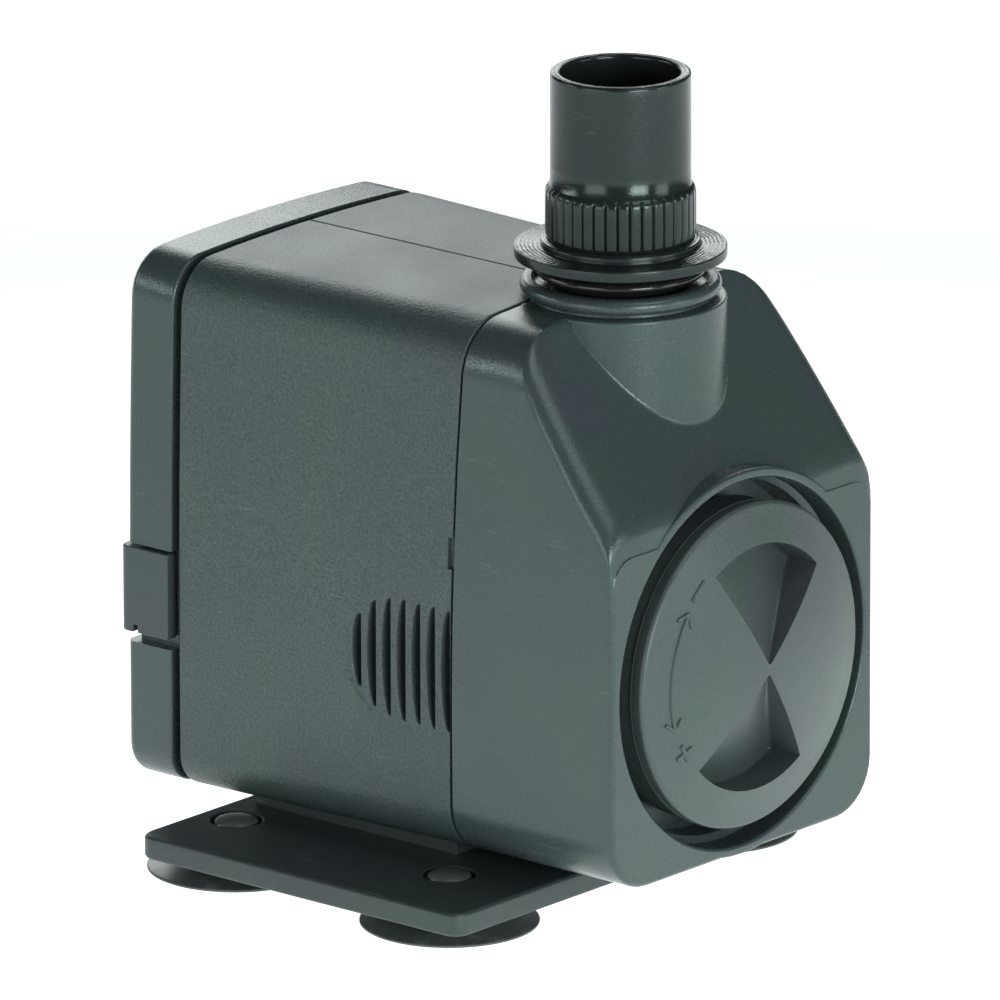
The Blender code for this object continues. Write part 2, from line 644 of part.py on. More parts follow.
def build_stator():
    axis = (0.0, AXIS_H)
    outer, (leg_in, leg_out) = CORE_HALF, LEG_X
    low, high = 18.5, 52.5
    yoke_low, yoke_high = COIL_H[1] + 0.6, 76.5
    slot = 1.5
    core = add_object("stator_core", prism(
        [(slot, low), (outer, low), (outer, high), (leg_out, high), (leg_out, yoke_high),
         (-leg_out, yoke_high), (-leg_out, high), (-outer, high), (-outer, low), (-slot, low),
         (-slot, high), (-leg_in, high), (-leg_in, yoke_low), (leg_in, yoke_low), (leg_in, high),
         (slot, high)],
        *CORE_Y), "steel")
    cut(core, "stator_bore", rod(WELL_R + WELL_WALL + GAP, CORE_Y[0] - 1, CORE_Y[1] + 1, axis, 'Y'))
    for side, sign in (("left", -1), ("right", 1)):
        build_coil(side, sign)


def build_coil(side, sign):
    """A spool round one leg of the core, and its winding."""
    x = sorted((sign * (LEG_X[0] - GAP), sign * (LEG_X[1] + GAP)))
    y = (CORE_Y[0] - GAP, CORE_Y[1] + GAP)
    wall, lip = 0.7, 4.3
    levels = [(COIL_H[0], lip), (COIL_H[0] + 0.9, lip), (COIL_H[0] + 0.9, wall),
              (COIL_H[1] - 0.9, wall), (COIL_H[1] - 0.9, lip), (COIL_H[1], lip)]
    rings = []
    for height, grow in levels:
        ring = rounded_rectangle((x[0] - grow, x[1] + grow), (y[0] - grow, y[1] + grow), 0.6 + grow * 0.4, 3)
        rings.append([(a, b, height) for a, b in ring])
    bobbin = add_object("coil_bobbin_" + side, loft(rings), "bobbin_plastic")
    cut(bobbin, "bobbin_bore_" + side, block((x[0], y[0], COIL_H[0] - 1), (x[1], y[1], COIL_H[1] + 1)))
    start, end = wall + GAP, wall + GAP + COIL_THICK
    heights = (COIL_H[0] + 0.9 + GAP, COIL_H[1] - 0.9 - GAP)
    outer = rounded_rectangle((x[0] - end, x[1] + end), (y[0] - end, y[1] + end), 3.2, 4)
    winding = add_object("coil_winding_" + side, plan_prism(outer, *heights), "copper")
    inner = rounded_rectangle((x[0] - start, x[1] + start), (y[0] - start, y[1] + start), 0.9, 3)
    cut(winding, "winding_bore_" + side, plan_prism(inner, heights[0] - 1, heights[1] + 1))


def build_potting_resin():
    """The layer of resin that seals the stator space behind the coils."""
    inset = WALL + GAP
    start, end = 28.1, 30.9
    resin = add_object("potting_resin", body_loft([(start, inset), (end, inset)]), "resin")
    cut(resin, "resin_bore", rod(WELL_R + WELL_WALL + GAP, start - 1, end + 1, (0.0, AXIS_H), 'Y'))
    return resin


def build_shaft_and_bushes():
    axis = (0.0, AXIS_H)
    add_object("shaft", rod(SHAFT_R, SHAFT_FRONT_Y, SHAFT_REAR_Y, axis, 'Y'), "ceramic")
    seat = SHAFT_R + 0.2
    add_object("rear_bush", lathe(
        [(0, WELL_REAR_Y - GAP), (0, SHAFT_REAR_Y + GAP), (seat, SHAFT_REAR_Y + GAP), (seat, 26.0),
         (4.5, 26.0), (4.5, WELL_REAR_Y - GAP)], axis, 'Y'), "rubber")
    front = CHAMBER_FRONT_Y + 0.9
    add_object("front_bush", lathe(
        [(0, front), (2.6, front), (2.6, front + 2.8), (seat, front + 2.8), (seat, front + 0.5),
         (0, front + 0.5)],
        axis, 'Y'), "rubber", (0.0, SEAM_Y, AXIS_H))


# Rotor

def build_rotor():
    axis = (0.0, AXIS_H)
    origin = (0.0, MAGNET_Y[0], AXIS_H)
    bore = SHAFT_R + GAP
    start, end = MAGNET_Y
    add_object("rotor_magnet", lathe(
        [(4.1, start), (MAGNET_R - 0.5, start), (MAGNET_R, start + 0.5), (MAGNET_R, end - 0.5),
         (MAGNET_R - 0.5, end), (4.1, end)], axis, 'Y'), "ferrite", origin)
    add_object("rotor_sleeve", lathe(
        [(bore, -21.2), (3.4, -21.2), (3.4, start - 2.0), (8.0, start - 2.0), (8.0, start - GAP),
         (3.8, start - GAP), (3.8, end + 0.2), (bore, end + 0.2)], axis, 'Y'), "inner_plastic", origin)
    add_object("thrust_washer_rear", tube(3.4, bore, end + 0.5, end + 1.1, axis, 'Y'), "ceramic", origin)
    add_object("thrust_washer_front", tube(3.0, bore, -25.4, -24.8, axis, 'Y'), "ceramic", origin)
    impeller = add_object("impeller", lathe(
        [(bore, -24.5), (4.6, -24.5), (4.6, -19.9), (13.0, -19.9), (13.0, -18.7), (3.7, -18.7),
         (3.7, -21.6), (bore, -21.6)], axis, 'Y'), "inner_plastic", origin)
    blades = []
    for number in range(6):
        blade = block((4.0, -25.6, -0.6), (12.6, -19.5, 0.6))
        turn = Matrix.Rotation(math.radians(60 * number), 4, 'Y')
        bmesh.ops.transform(blade, matrix=Matrix.Translation((0, 0, AXIS_H)) @ turn, verts=blade.verts)
        blades.append(blade)
    join(impeller, "impeller_blades", merged(*blades))


# Feet

def build_base_plate():
    x = (-PLATE_HALF_X, PLATE_HALF_X)
    chamfer = 0.5
    levels = [(PLATE_H[0], chamfer), (PLATE_H[0] + chamfer, 0), (PLATE_H[1] - chamfer, 0),
              (PLATE_H[1], chamfer)]
    rings = []
    for height, inset in levels:
        outline = rounded_rectangle((x[0] + inset, x[1] - inset), (PLATE_Y[0] + inset, PLATE_Y[1] - inset),
                                    PLATE_CORNER - inset * 0.6)
        rings.append([(a, b, height) for a, b in outline])
    plate = add_object("base_plate", loft(rings), "black_satin")
    rails = [block((side * 17.0 - 3.0, -10.0, PLATE_H[1] - 1.0), (side * 17.0 + 3.0, 26.0, BODY_BOTTOM - GAP))
             for side in (-1, 1)]
    join(plate, "plate_rails", merged(*rails))
    holes = []
    for cup_x in (-CUP_X, CUP_X):
        for cup_y in CUP_Y:
            holes.append(lathe(
                [(0, PLATE_H[0] - 1), (2.1, PLATE_H[0] - 1), (2.1, PLATE_H[1] - 0.9),
                 (3.5, PLATE_H[1] - 0.9), (3.5, PLATE_H[1] + 1), (0, PLATE_H[1] + 1)], (cup_x, cup_y)))
    cut(plate, "cup_holes", merged(*holes))


def build_suction_cups():
    head = PLATE_H[1] - 0.6
    profile = [(0, 1.5), (5.0, 1.2), (9.0, 0.5), (11.4, 0.0), (CUP_R, 0.0), (CUP_R, 0.5), (9.0, 1.3),
               (5.0, 2.3), (3.6, 3.0), (1.8, 3.0), (1.8, head), (2.9, head), (2.9, head + 0.4),
               (1.8, head + 0.9), (0, head + 1.1)]
    names = {(-CUP_X, CUP_Y[0]): "front_left", (CUP_X, CUP_Y[0]): "front_right",
             (-CUP_X, CUP_Y[1]): "rear_left", (CUP_X, CUP_Y[1]): "rear_right"}
    for centre, name in names.items():
        add_object("suction_cup_" + name, lathe(profile, centre), "rubber")


def build_seals():
    axis = (0.0, AXIS_H)
    add_object("chamber_seal", ring_seal(15.2, 0.5, CHAMBER_REAR_Y + 0.5, axis, 'Y'), "rubber")
    add_object("outlet_seal", ring_seal(OUTLET_SEAL_R, 0.75, OUTLET_SEAL_H, (0.0, PIPE_Y)), "rubber",
               (0.0, PIPE_Y, FLANGE_TOP))


def main():
    clear_scene()
    build_motor_housing()
    build_rear_cover()
    build_rear_clip()
    build_cable_gland()
    build_base_plate()
    build_suction_cups()
    build_stator()
    build_potting_resin()
    build_shaft_and_bushes()
    build_chamber_plate()
    build_seals()
    build_rotor()
    build_front_cover()
    build_impeller_chamber()
    build_dial()
    build_flow_regulator()
    build_outlet_adapter()


main()
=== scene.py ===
"""Looks of the submersible fountain pump: detailed shells, moulded plastic, rubber and a studio.

Lengths are in millimetres until a mesh is finished, and then in metres in the frame of the CAD model.
"""
from math import atan, atan2, copysign, cos, degrees, pi, radians, sin, sqrt, tan

import bmesh
import bpy
from mathutils import Matrix, Vector


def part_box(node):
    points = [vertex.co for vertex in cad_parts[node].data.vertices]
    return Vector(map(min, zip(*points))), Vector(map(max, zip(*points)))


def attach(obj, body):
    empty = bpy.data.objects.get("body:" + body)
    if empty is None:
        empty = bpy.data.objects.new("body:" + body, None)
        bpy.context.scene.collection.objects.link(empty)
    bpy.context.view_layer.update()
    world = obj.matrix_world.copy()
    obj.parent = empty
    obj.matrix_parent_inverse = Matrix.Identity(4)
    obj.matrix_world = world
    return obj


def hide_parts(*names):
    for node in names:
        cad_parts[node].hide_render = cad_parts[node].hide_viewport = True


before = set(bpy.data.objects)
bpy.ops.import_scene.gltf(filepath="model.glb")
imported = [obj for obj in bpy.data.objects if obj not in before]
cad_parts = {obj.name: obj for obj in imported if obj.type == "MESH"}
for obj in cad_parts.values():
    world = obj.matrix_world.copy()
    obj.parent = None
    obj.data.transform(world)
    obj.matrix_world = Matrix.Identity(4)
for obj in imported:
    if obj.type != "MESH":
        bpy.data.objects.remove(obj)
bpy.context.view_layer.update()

MM = 0.001
STEPS = 144                    # sides of a large turned piece
FEWER = 96                     # and of a smaller one
CLOSE = 0.0005                 # vertices this near are one
BEVEL_FROM = radians(35)       # edges that turn more than this are bevelled


def box_mm(node):
    low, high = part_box(node)
    return Vector(low) / MM, Vector(high) / MM


def centre_of(node, axes):
    low, high = box_mm(node)
    return tuple((low[axis] + high[axis]) / 2 for axis in axes)


# Places and sizes, from the boxes of the CAD nodes

housing_low, housing_high = box_mm("motor_housing")
cover_low, cover_high = box_mm("front_cover")
cap_low, cap_high = box_mm("rear_cover")
clip_low, clip_high = box_mm("rear_clip")
gland_low, gland_high = box_mm("cable_gland")
dial_low, dial_high = box_mm("flow_dial")
plate_low, plate_high = box_mm("base_plate")

GAP = 0.3                      # between neighbouring pieces
HALF_WIDTH = housing_high.x
BOTTOM = housing_low.z
CROWN = 0.5                    # rise of the top along its middle
TOP = housing_high.z - CROWN
SEAM_Y = housing_low.y - GAP / 2
HOUSING_REAR_Y = housing_high.y
FRONT_Y = cover_low.y
CAP_FRONT_Y = cap_low.y + 3.5
CAP_REAR_Y = cap_high.y
X, Y, Z = range(3)
AXIS = AXIS_X, AXIS_H = centre_of("flow_dial", (X, Z))
PIPE = centre_of("outlet_adapter", (X, Y))
PIPE_TOP = box_mm("outlet_adapter")[1].z
GLAND = centre_of("cable_gland", (X, Z))

SIDE_STRAIGHT_TO = 30.0        # the side walls draw in above this height
SIDE_DRAW = (0.0012, 0.0004)   # at the seam and at the rear, as the radii below
NOSE_STRAIGHT_TO, NOSE_DRAW, NOSE_BLEND = 55.0, 0.0031, 14.0
TOP_RADIUS = (8.0, 6.5)
BOTTOM_RADIUS = (7.5, 5.0)
WALL = 2.2
FRONT_EDGE = 0.8
SEAM_EDGE = 0.4
SLOPE_FOOT = 58.3              # where the sloped face would meet the front plane
SLOPE_RUN = 0.769              # backwards for each millimetre upwards
SLOPE_ANGLE = atan(SLOPE_RUN)
FOOT_RADIUS = 8.2
SLOPE_FILLET = 4.2

BOSS_R, BOSS_BASE, BOSS_FOOT, BOSS_TOP = 14.3, 60.0, 65.6, 83.1
BEAD_R, BEAD_TOP = 13.6, cover_high.z
RECESS_R, SOCKET_R = 11.9, 6.8
PIPE_R, PIPE_BORE_R, SPIGOT_BORE_R, SPIGOT_BOTTOM = 9.5, 8.0, 5.0, 76.0
FLANGE_R, FLANGE_TOP, FLANGE_THICK = 14.33, 90.1, 1.5
KNURL_R, KNURL_BOTTOM, KNURL_TOP, KNURL_RIBS = 10.14, 91.5, 98.5, 38

OPENING_R, COLLAR_R = 25.4, 26.8
DIAL_R = dial_high.x - AXIS_X
DIAL_CROWN, DIAL_THICK = 3.3, 7.0
DIAL_EDGE_Y = dial_low.y + DIAL_CROWN
DIAL_TURN = radians(7.5)
DIAL_WALL_Y, DIAL_WALL, DIAL_HUB_R = -34.6, 1.6, 4.0
POCKET_R, POCKET_HALF_ANGLE, POCKET_DEPTH = 17.0, radians(39), 5.6

BULKHEAD_Y, BULKHEAD = 4.6, 1.6    # the housing's inner wall behind the pump chamber
WELL_R, WELL_WALL, WELL_REAR_Y, WELL_MOUTH_Y = 12.0, 1.3, 28.7, -14.9

CLIP_SEAT, CLIP_SEAT_BACK = 1.7, 1.4    # depth of the clip's seat in the cap's sides and back
GLAND_HOLE_R = 4.0

SLOT_PITCH, SLOT_WIDTH = 2.62, 1.5
SLOT_FIRST_Y = SEAM_Y + 1.1
SLOT_MIDDLE_H = AXIS_H - 0.5
SLOT_HALF_HEIGHTS = (8.3, 8.4, 8.3, 8.4, 8.1, 7.3, 5.0)


# Meshes: shapes are bmeshes in millimetres, solids are meshes in millimetres

def solid(bm):
    """The mesh of a shape, which is used up."""
    bmesh.ops.remove_doubles(bm, verts=bm.verts, dist=CLOSE)
    bmesh.ops.recalc_face_normals(bm, faces=bm.faces)
    mesh = bpy.data.meshes.new("shape")
    bm.to_mesh(mesh)
    bm.free()
    return mesh


def placed(name, mesh):
    obj = bpy.data.objects.new(name, mesh)
    bpy.context.scene.collection.objects.link(obj)
    return obj


def applied(mesh, kind, **settings):
    """The mesh with one modifier applied."""
    obj = placed("work", mesh)
    modifier = obj.modifiers.new("work", kind)
    for key, value in settings.items():
        setattr(modifier, key, value)
    graph = bpy.context.evaluated_depsgraph_get()
    result = bpy.data.meshes.new_from_object(obj.evaluated_get(graph))
    bpy.data.objects.remove(obj)
    bpy.data.meshes.remove(mesh)
    return result


def combined(mesh, operation, *tools, fast=False):
    """The mesh after a Boolean operation with each shape in turn."""
    solver = 'MANIFOLD' if fast else 'EXACT'
    for bm in tools:
        tool = placed("tool", solid(bm))
        mesh = applied(mesh, 'BOOLEAN', operation=operation, solver=solver, object=tool)
        data = tool.data
        bpy.data.objects.remove(tool)
        bpy.data.meshes.remove(data)
    return mesh


def cut(mesh, *tools, **settings):
    return combined(mesh, 'DIFFERENCE', *tools, **settings)


def join(mesh, *tools, **settings):
    return combined(mesh, 'UNION', *tools, **settings)


def bevelled(mesh, width, segments=2):
    return applied(mesh, 'BEVEL', width=width, segments=segments, limit_method='ANGLE',
                   angle_limit=BEVEL_FROM, use_clamp_overlap=True, profile=0.5)


def piece(name, mesh, body, replaced, slot, sharp=38):
    """Finish a mesh in millimetres as a visible piece that rides on a body, in its slot's material."""
    mesh.transform(Matrix.Diagonal((MM, MM, MM, 1.0)))
    mesh.name = name
    mesh.shade_smooth()
    mesh.set_sharp_from_angle(angle=radians(sharp))
    mesh.materials.clear()
    mesh.materials.append(MATERIALS[slot])
    for polygon in mesh.polygons:
        polygon.material_index = 0
    obj = placed(name, mesh)
    normals = obj.modifiers.new("normals", 'WEIGHTED_NORMAL')
    normals.keep_sharp = True
    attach(obj, body)
    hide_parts(*replaced)


def loft(rings, triangles=True):
    """A closed body through rings of equal length, capped at both ends."""
    bm = bmesh.new()
    levels = [[bm.verts.new(point) for point in ring] for ring in rings]
    count = len(levels[0])
    sides = []
    for low, high in zip(levels, levels[1:]):
        for i in range(count):
            j = (i + 1) % count
            sides.append(bm.faces.new((low[i], low[j], high[j], high[i])))
    bm.faces.new(levels[0])
    bm.faces.new(levels[-1])
    if triangles:
        bmesh.ops.triangulate(bm, faces=sides)
    return bm


def turned(profile, centre=(0.0, 0.0), along='Z', steps=STEPS, shape=None):
    """Turn a closed profile of (radius, height) points; shape(angle, index) may add to a radius."""
    bm = bmesh.new()
    rings = []
    for step in range(steps):
        angle = 2 * pi * step / steps
        ring = []
        for index, (radius, height) in enumerate(profile):
            if shape:
                radius += shape(angle, index)
            u = centre[0] + radius * cos(angle)
            v = centre[1] + radius * sin(angle)
            ring.append(bm.verts.new((u, v, height) if along == 'Z' else (u, height, v)))
        rings.append(ring)
    count = len(profile)
    for step in range(steps):
        here, there = rings[step], rings[(step + 1) % steps]
        for i in range(count):
            j = (i + 1) % count
            if profile[i][0] > 0 or profile[j][0] > 0:
                bm.faces.new((here[i], here[j], there[j], there[i]))
    bmesh.ops.remove_doubles(bm, verts=bm.verts, dist=CLOSE)
    return bm


def prism(outline, levels, along='Y'):
    """A body with the same outline at each level along an axis."""
    if along == 'Y':
        return loft([[(a, level, b) for a, b in outline] for level in levels], triangles=False)
    return loft([[(a, b, level) for a, b in outline] for level in levels], triangles=False)


def rod(radius, start, end, centre, along='Z', steps=STEPS):
    return turned([(0, start), (radius, start), (radius, end), (0, end)], centre, along, steps)


def block(low, high):
    """A box from its low corner to its high one."""
    bm = bmesh.new()
    bmesh.ops.create_cube(bm, size=1.0)
    low, high = Vector(low), Vector(high)
    bmesh.ops.scale(bm, verts=bm.verts, vec=high - low)
    bmesh.ops.translate(bm, verts=bm.verts, vec=(high + low) / 2)
    return bm


def merged(*shapes):
    """One shape of several that don't touch."""
    bm = bmesh.new()
    for shape in shapes:
        mesh = solid(shape)
        bm.from_mesh(mesh)
        bpy.data.meshes.remove(mesh)
    return bm


def arc(centre, radius, start, end, segments):
    """Points on an arc, from one angle in degrees to another."""
    points = []
    for i in range(segments + 1):
        t = radians(start + (end - start) * i / segments)
        points.append((centre[0] + radius * cos(t), centre[1] + radius * sin(t)))
    return points


def rounded(points, default=0.0):
    """A closed outline of (a, b) or (a, b, radius) points with its corners rounded."""
    segments = 4
    outline = []
    count = len(points)
    for i, point in enumerate(points):
        here = Vector(point[:2])
        radius = point[2] if len(point) > 2 else default
        before, after = Vector(points[i - 1][:2]), Vector(points[(i + 1) % count][:2])
        one, two = before - here, after - here
        if radius <= 0 or one.length < 1e-6 or two.length < 1e-6:
            outline.append(tuple(here))
            continue
        one.normalize()
        two.normalize()
        half = one.angle(two) / 2
        most = min((before - here).length * 0.49, (after - here).length * 0.49)
        reach = min(radius / tan(half), most)
        for k in range(segments + 1):
            outline.append(tuple(bent(here + one * reach, here, here + two * reach, k / segments)))
    return outline


def bent(start, corner, end, t):
    """A place on the curve from start to end that heads for the corner, with t from 0 to 1."""
    return start * (1 - t) ** 2 + corner * 2 * t * (1 - t) + end * t ** 2


def rounded_rectangle(x, y, radius):
    corners = [((x[1] - radius, y[1] - radius), 0), ((x[0] + radius, y[1] - radius), 90),
               ((x[0] + radius, y[0] + radius), 180), ((x[1] - radius, y[0] + radius), 270)]
    outline = []
    for centre, start in corners:
        outline += arc(centre, radius, start, start + 90, 8)
    return outline


# The body's outline

def between(pair, y):
    """A value at y, from its value at the seam and at the housing's rear."""
    share = min(1.0, max(0.0, (y - SEAM_Y) / (HOUSING_REAR_Y - SEAM_Y)))
    return pair[0] + (pair[1] - pair[0]) * share


def half_width(y, height):
    """Half the body's width; the walls draw in more towards the nose."""
    drawn = between(SIDE_DRAW, y) * max(0.0, height - SIDE_STRAIGHT_TO) ** 2
    nose_drawn = NOSE_DRAW * max(0.0, height - NOSE_STRAIGHT_TO) ** 2
    nose = min(1.0, max(0.0, (SEAM_Y - y) / NOSE_BLEND))
    return HALF_WIDTH - drawn * (1 - nose) - nose_drawn * nose


def slope_height(y, inset=0.0):
    """The height of the sloped face at y, with its rounded foot."""
    radius, reach = FOOT_RADIUS - inset, FRONT_Y + FOOT_RADIUS - y
    if reach > radius * cos(SLOPE_ANGLE):
        foot = SLOPE_FOOT - FOOT_RADIUS * tan(SLOPE_ANGLE / 2)
        return foot + sqrt(max(0.0, radius ** 2 - reach ** 2))
    return SLOPE_FOOT + (y - FRONT_Y) / SLOPE_RUN - inset / sin(SLOPE_ANGLE)


def body_ring(y, inset=0.0, sloped=False, groove=0.0):
    """The body's outline at y, inset from the skin, and cut by the sloped face if it has one."""
    bottom = BOTTOM + inset
    low_r = max(0.8, between(BOTTOM_RADIUS, y) - inset)
    top_r = max(0.8, between(TOP_RADIUS, y) - inset)
    low_centre = (half_width(y, bottom) - inset - low_r, bottom + low_r)
    top_centre_h = TOP - inset - top_r
    top_centre = (half_width(y, top_centre_h) - inset - top_r, top_centre_h)
    flat = slope_height(y, inset) if sloped else 2 * TOP
    fillet = max(0.6, SLOPE_FILLET - inset)
    fillet_h = min(flat, TOP - inset) - fillet
    if fillet_h <= top_centre[1]:
        side_end, turn = fillet_h, 0.0
        fillet_x = half_width(y, fillet_h) - inset - fillet
    else:
        side_end = top_centre[1]
        rise = min(fillet_h - top_centre[1], top_r - fillet)
        fillet_x = top_centre[0] + sqrt((top_r - fillet) ** 2 - rise ** 2)
        turn = degrees(atan2(rise, fillet_x - top_centre[0]))
    right = arc(low_centre, low_r, -90, 0, 8)
    for share in (0.0, 0.25, 0.5, 0.75, 1.0):
        height = SIDE_STRAIGHT_TO + (side_end - SIDE_STRAIGHT_TO) * share
        right.append((half_width(y, height) - inset, height))
    right += arc(top_centre, top_r, 0, turn, 8)[1:] if turn > 0 else [right[-1]] * 8
    right += arc((fillet_x, fillet_h), fillet, turn, 90, 4)[1:]
    top_h = right[-1][1]
    rise = max(0.0, min(flat, TOP - inset + CROWN) - top_h)
    for share in (0.75, 0.5, 0.25, 0.012, 0.006):
        dip = groove if share < 0.01 else 0.0
        right.append((fillet_x * share, top_h + rise * (1 - share ** 2) - dip))
    left = [(-x, z) for x, z in reversed(right)]
    return [(x, y, z) for x, z in right + [(0.0, top_h + rise - groove)] + left]


def body_loft(stations, sloped=False, groove=0.0):
    return loft([body_ring(y, inset, sloped, groove) for y, inset in stations])


def edge_stations(y, radius, inwards, count=4):
    """Stations (y, inset) that round a lofted body's edge over; inwards is 1 at the front, -1 at the back."""
    stations = []
    for step in range(count + 1):
        t = radians(90 - 90 * step / count)
        stations.append((y + inwards * radius * (1 - sin(t)), radius * (1 - cos(t))))
    return stations if inwards > 0 else stations[::-1]


# Materials: a value is a socket, whose id_data is its node tree

def node(tree, kind, inputs=None, **settings):
    made = tree.nodes.new("ShaderNode" + kind)
    for key, value in settings.items():
        setattr(made, key, value)
    for key, value in (inputs or {}).items():
        if isinstance(value, bpy.types.NodeSocket):
            tree.links.new(value, made.inputs[key])
        else:
            made.inputs[key].default_value = value
    return made


def ramp(factor, *stops):
    """A ramp through (position, grey) stops."""
    made = node(factor.id_data, "ValToRGB", {0: factor})
    elements = made.color_ramp.elements
    while len(elements) < len(stops):
        elements.new(0.5)
    for element, (position, value) in zip(elements, stops):
        element.position = position
        element.color = (value, value, value, 1.0)
    return made.outputs[0]


def maths(operation, one, two=0.0, clamp=False):
    return node(one.id_data, "Math", {0: one, 1: two}, operation=operation, use_clamp=clamp).outputs[0]


def times(one, two):
    return maths('MULTIPLY', one, two)


def plus(one, two, clamp=False):
    return maths('ADD', one, two, clamp)


def vectors(operation, one, two=(0.0, 0.0, 0.0)):
    return node(one.id_data, "VectorMath", {0: one, 1: two}, operation=operation).outputs


def mixed(factor, one, two):
    """The first colour where the factor is 0, and the second where it is 1."""
    tree = factor.id_data
    made = node(tree, "Mix", data_type='RGBA')
    for socket, value in ((made.inputs[0], factor), (made.inputs[6], one), (made.inputs[7], two)):
        if isinstance(value, tuple):
            socket.default_value = (*value, 1.0)
        else:
            tree.links.new(value, socket)
    return made.outputs[2]


def feed(shader, name, value):
    shader.id_data.links.new(value, shader.inputs[name])


def start_material(name, roughness, metallic=0.0, specular=0.5):
    """A new material, its shader, and places on the object in millimetres."""
    material = bpy.data.materials.new(name)
    material.use_nodes = True
    tree = material.node_tree
    shader = tree.nodes["Principled BSDF"]
    for key, value in (("Roughness", roughness), ("Metallic", metallic), ("Specular IOR Level", specular),
                       ("IOR", 1.5)):
        shader.inputs[key].default_value = value
    where = node(tree, "TexCoord").outputs["Object"]
    scaled = node(tree, "VectorMath", {0: where, "Scale": 1 / MM}, operation='SCALE').outputs[0]
    return material, shader, scaled


def noise(where, scale, detail=2.0, roughness=0.5, stretch=None):
    if stretch:
        where = vectors('MULTIPLY', where, stretch)[0]
    return node(where.id_data, "TexNoise", {"Vector": where, "Scale": scale, "Detail": detail,
                                            "Roughness": roughness}).outputs[0]


def part_of(vector, axis):
    return node(vector.id_data, "SeparateXYZ", {0: vector}).outputs[axis]


def facing_up(tree):
    return part_of(node(tree, "NewGeometry").outputs["Normal"], 2)


def bump(shader, *layers):
    """Chain bumps of (height, strength, distance in mm) into the shader's normal."""
    normal = None
    for height, strength, distance in layers:
        inputs = {"Height": height, "Strength": strength, "Distance": distance * MM}
        if normal:
            inputs["Normal"] = normal
        normal = node(shader.id_data, "Bump", inputs).outputs[0]
    feed(shader, "Normal", normal)


def turning_marks(at, centre):
    """Fine concentric rings on faces that look up, about a vertical axis."""
    flat = vectors('SUBTRACT', at, (centre[0], centre[1], 0.0))[0]
    flat = vectors('MULTIPLY', flat, (1.0, 1.0, 0.0))[0]
    radius = vectors('LENGTH', flat)["Value"]
    wobble = times(noise(at, 0.5, 2.0), 0.5)
    rings = maths('SINE', times(plus(radius, wobble), 11.0))
    return times(rings, ramp(facing_up(at.id_data), (0.9, 0.0), (0.97, 1.0)))


def moulded(name, colour, rough, grain, depth, scuffs=0.5, sparkle=0.4, shine=0.5, turned_about=None):
    """Moulded plastic: eroded grain, faint flow mottling, scuffs and dust specks."""
    material, shader, at = start_material(name, rough)
    fine = noise(at, grain, 3.0, 0.65)
    cells = node(at.id_data, "TexVoronoi", {"Vector": at, "Scale": grain * 0.8}).outputs["Distance"]
    broad = noise(at, 0.07, 3.0)
    green, blue = [tuple(c * (1 + 0.1 * k) for c, k in zip(colour, shift)) for shift in
                   ((-0.6, 1.0, 0.1), (0.5, -0.4, 1.0))]
    base = mixed(ramp(broad, (0.38, 0.0), (0.62, 1.0)), green, blue)
    speck = ramp(noise(at, grain * 2.2, 1.0), (0.62, 0.0), (0.78, 1.0))
    base = mixed(times(speck, 0.5), base, tuple(c * 2.4 + 0.01 for c in colour))
    pit = ramp(noise(at, grain * 1.7, 2.0), (0.28, 1.0), (0.42, 0.0))
    base = mixed(times(pit, 0.5), base, tuple(c * 0.45 for c in colour))
    streak = noise(at, 0.9, 2.0, 0.6, stretch=(2.2, 0.12, 2.2))
    patch = noise(at, 0.11, 1.0)
    scratch = times(ramp(streak, (0.655, 0.0), (0.69, 1.0)),
                    ramp(patch, (0.52, 0.0), (0.6, 1.0)))
    worn = tuple(c * 3 + 0.03 for c in colour)
    base = mixed(times(scratch, 0.45 * scuffs), base, worn)
    feed(shader, "Base Color", base)
    shader.inputs["Specular Tint"].default_value = (0.80, 1.0, 0.96, 1.0)
    level = times(maths('SUBTRACT', fine, 0.5), sparkle)
    feed(shader, "Specular IOR Level", plus(level, shine, clamp=True))
    uneven = times(maths('SUBTRACT', fine, 0.5), 0.35)
    gloss = plus(uneven, times(maths('SUBTRACT', broad, 0.5), 0.25))
    feed(shader, "Roughness", plus(gloss, rough, clamp=True))
    layers = [(cells, 0.35, depth * 0.6), (fine, 0.6, depth), (scratch, 0.3, -0.01)]
    if turned_about:
        layers.insert(0, (turning_marks(at, turned_about), 0.5, 0.06))
    bump(shader, *layers)
    return material


def rubber(name, colour, rough, depth=0.02):
    """Rubber, lighter on the faces that look up: dust in patches, with a painted sheen on the tops."""
    material, shader, at = start_material(name, rough, specular=0.45)
    fine = noise(at, 2.4, 4.0, 0.6)
    dust_and_sheen = ramp(noise(at, 0.35, 4.0, 0.7), (0.52, 0.0), (0.75, 1.0))
    # Faces that look up are made lighter: partly dust, partly painted sheen on the tops.
    dust_and_sheen = times(dust_and_sheen, ramp(facing_up(at.id_data), (0.3, 0.15), (0.9, 0.8)))
    base = mixed(dust_and_sheen, colour, tuple(c * 2.2 + 0.02 for c in colour))
    feed(shader, "Base Color", base)
    dusty = times(dust_and_sheen, 0.2)
    feed(shader, "Roughness", plus(dusty, plus(times(fine, 0.12), rough - 0.06)))
    bump(shader, (fine, 0.4, depth))
    return material


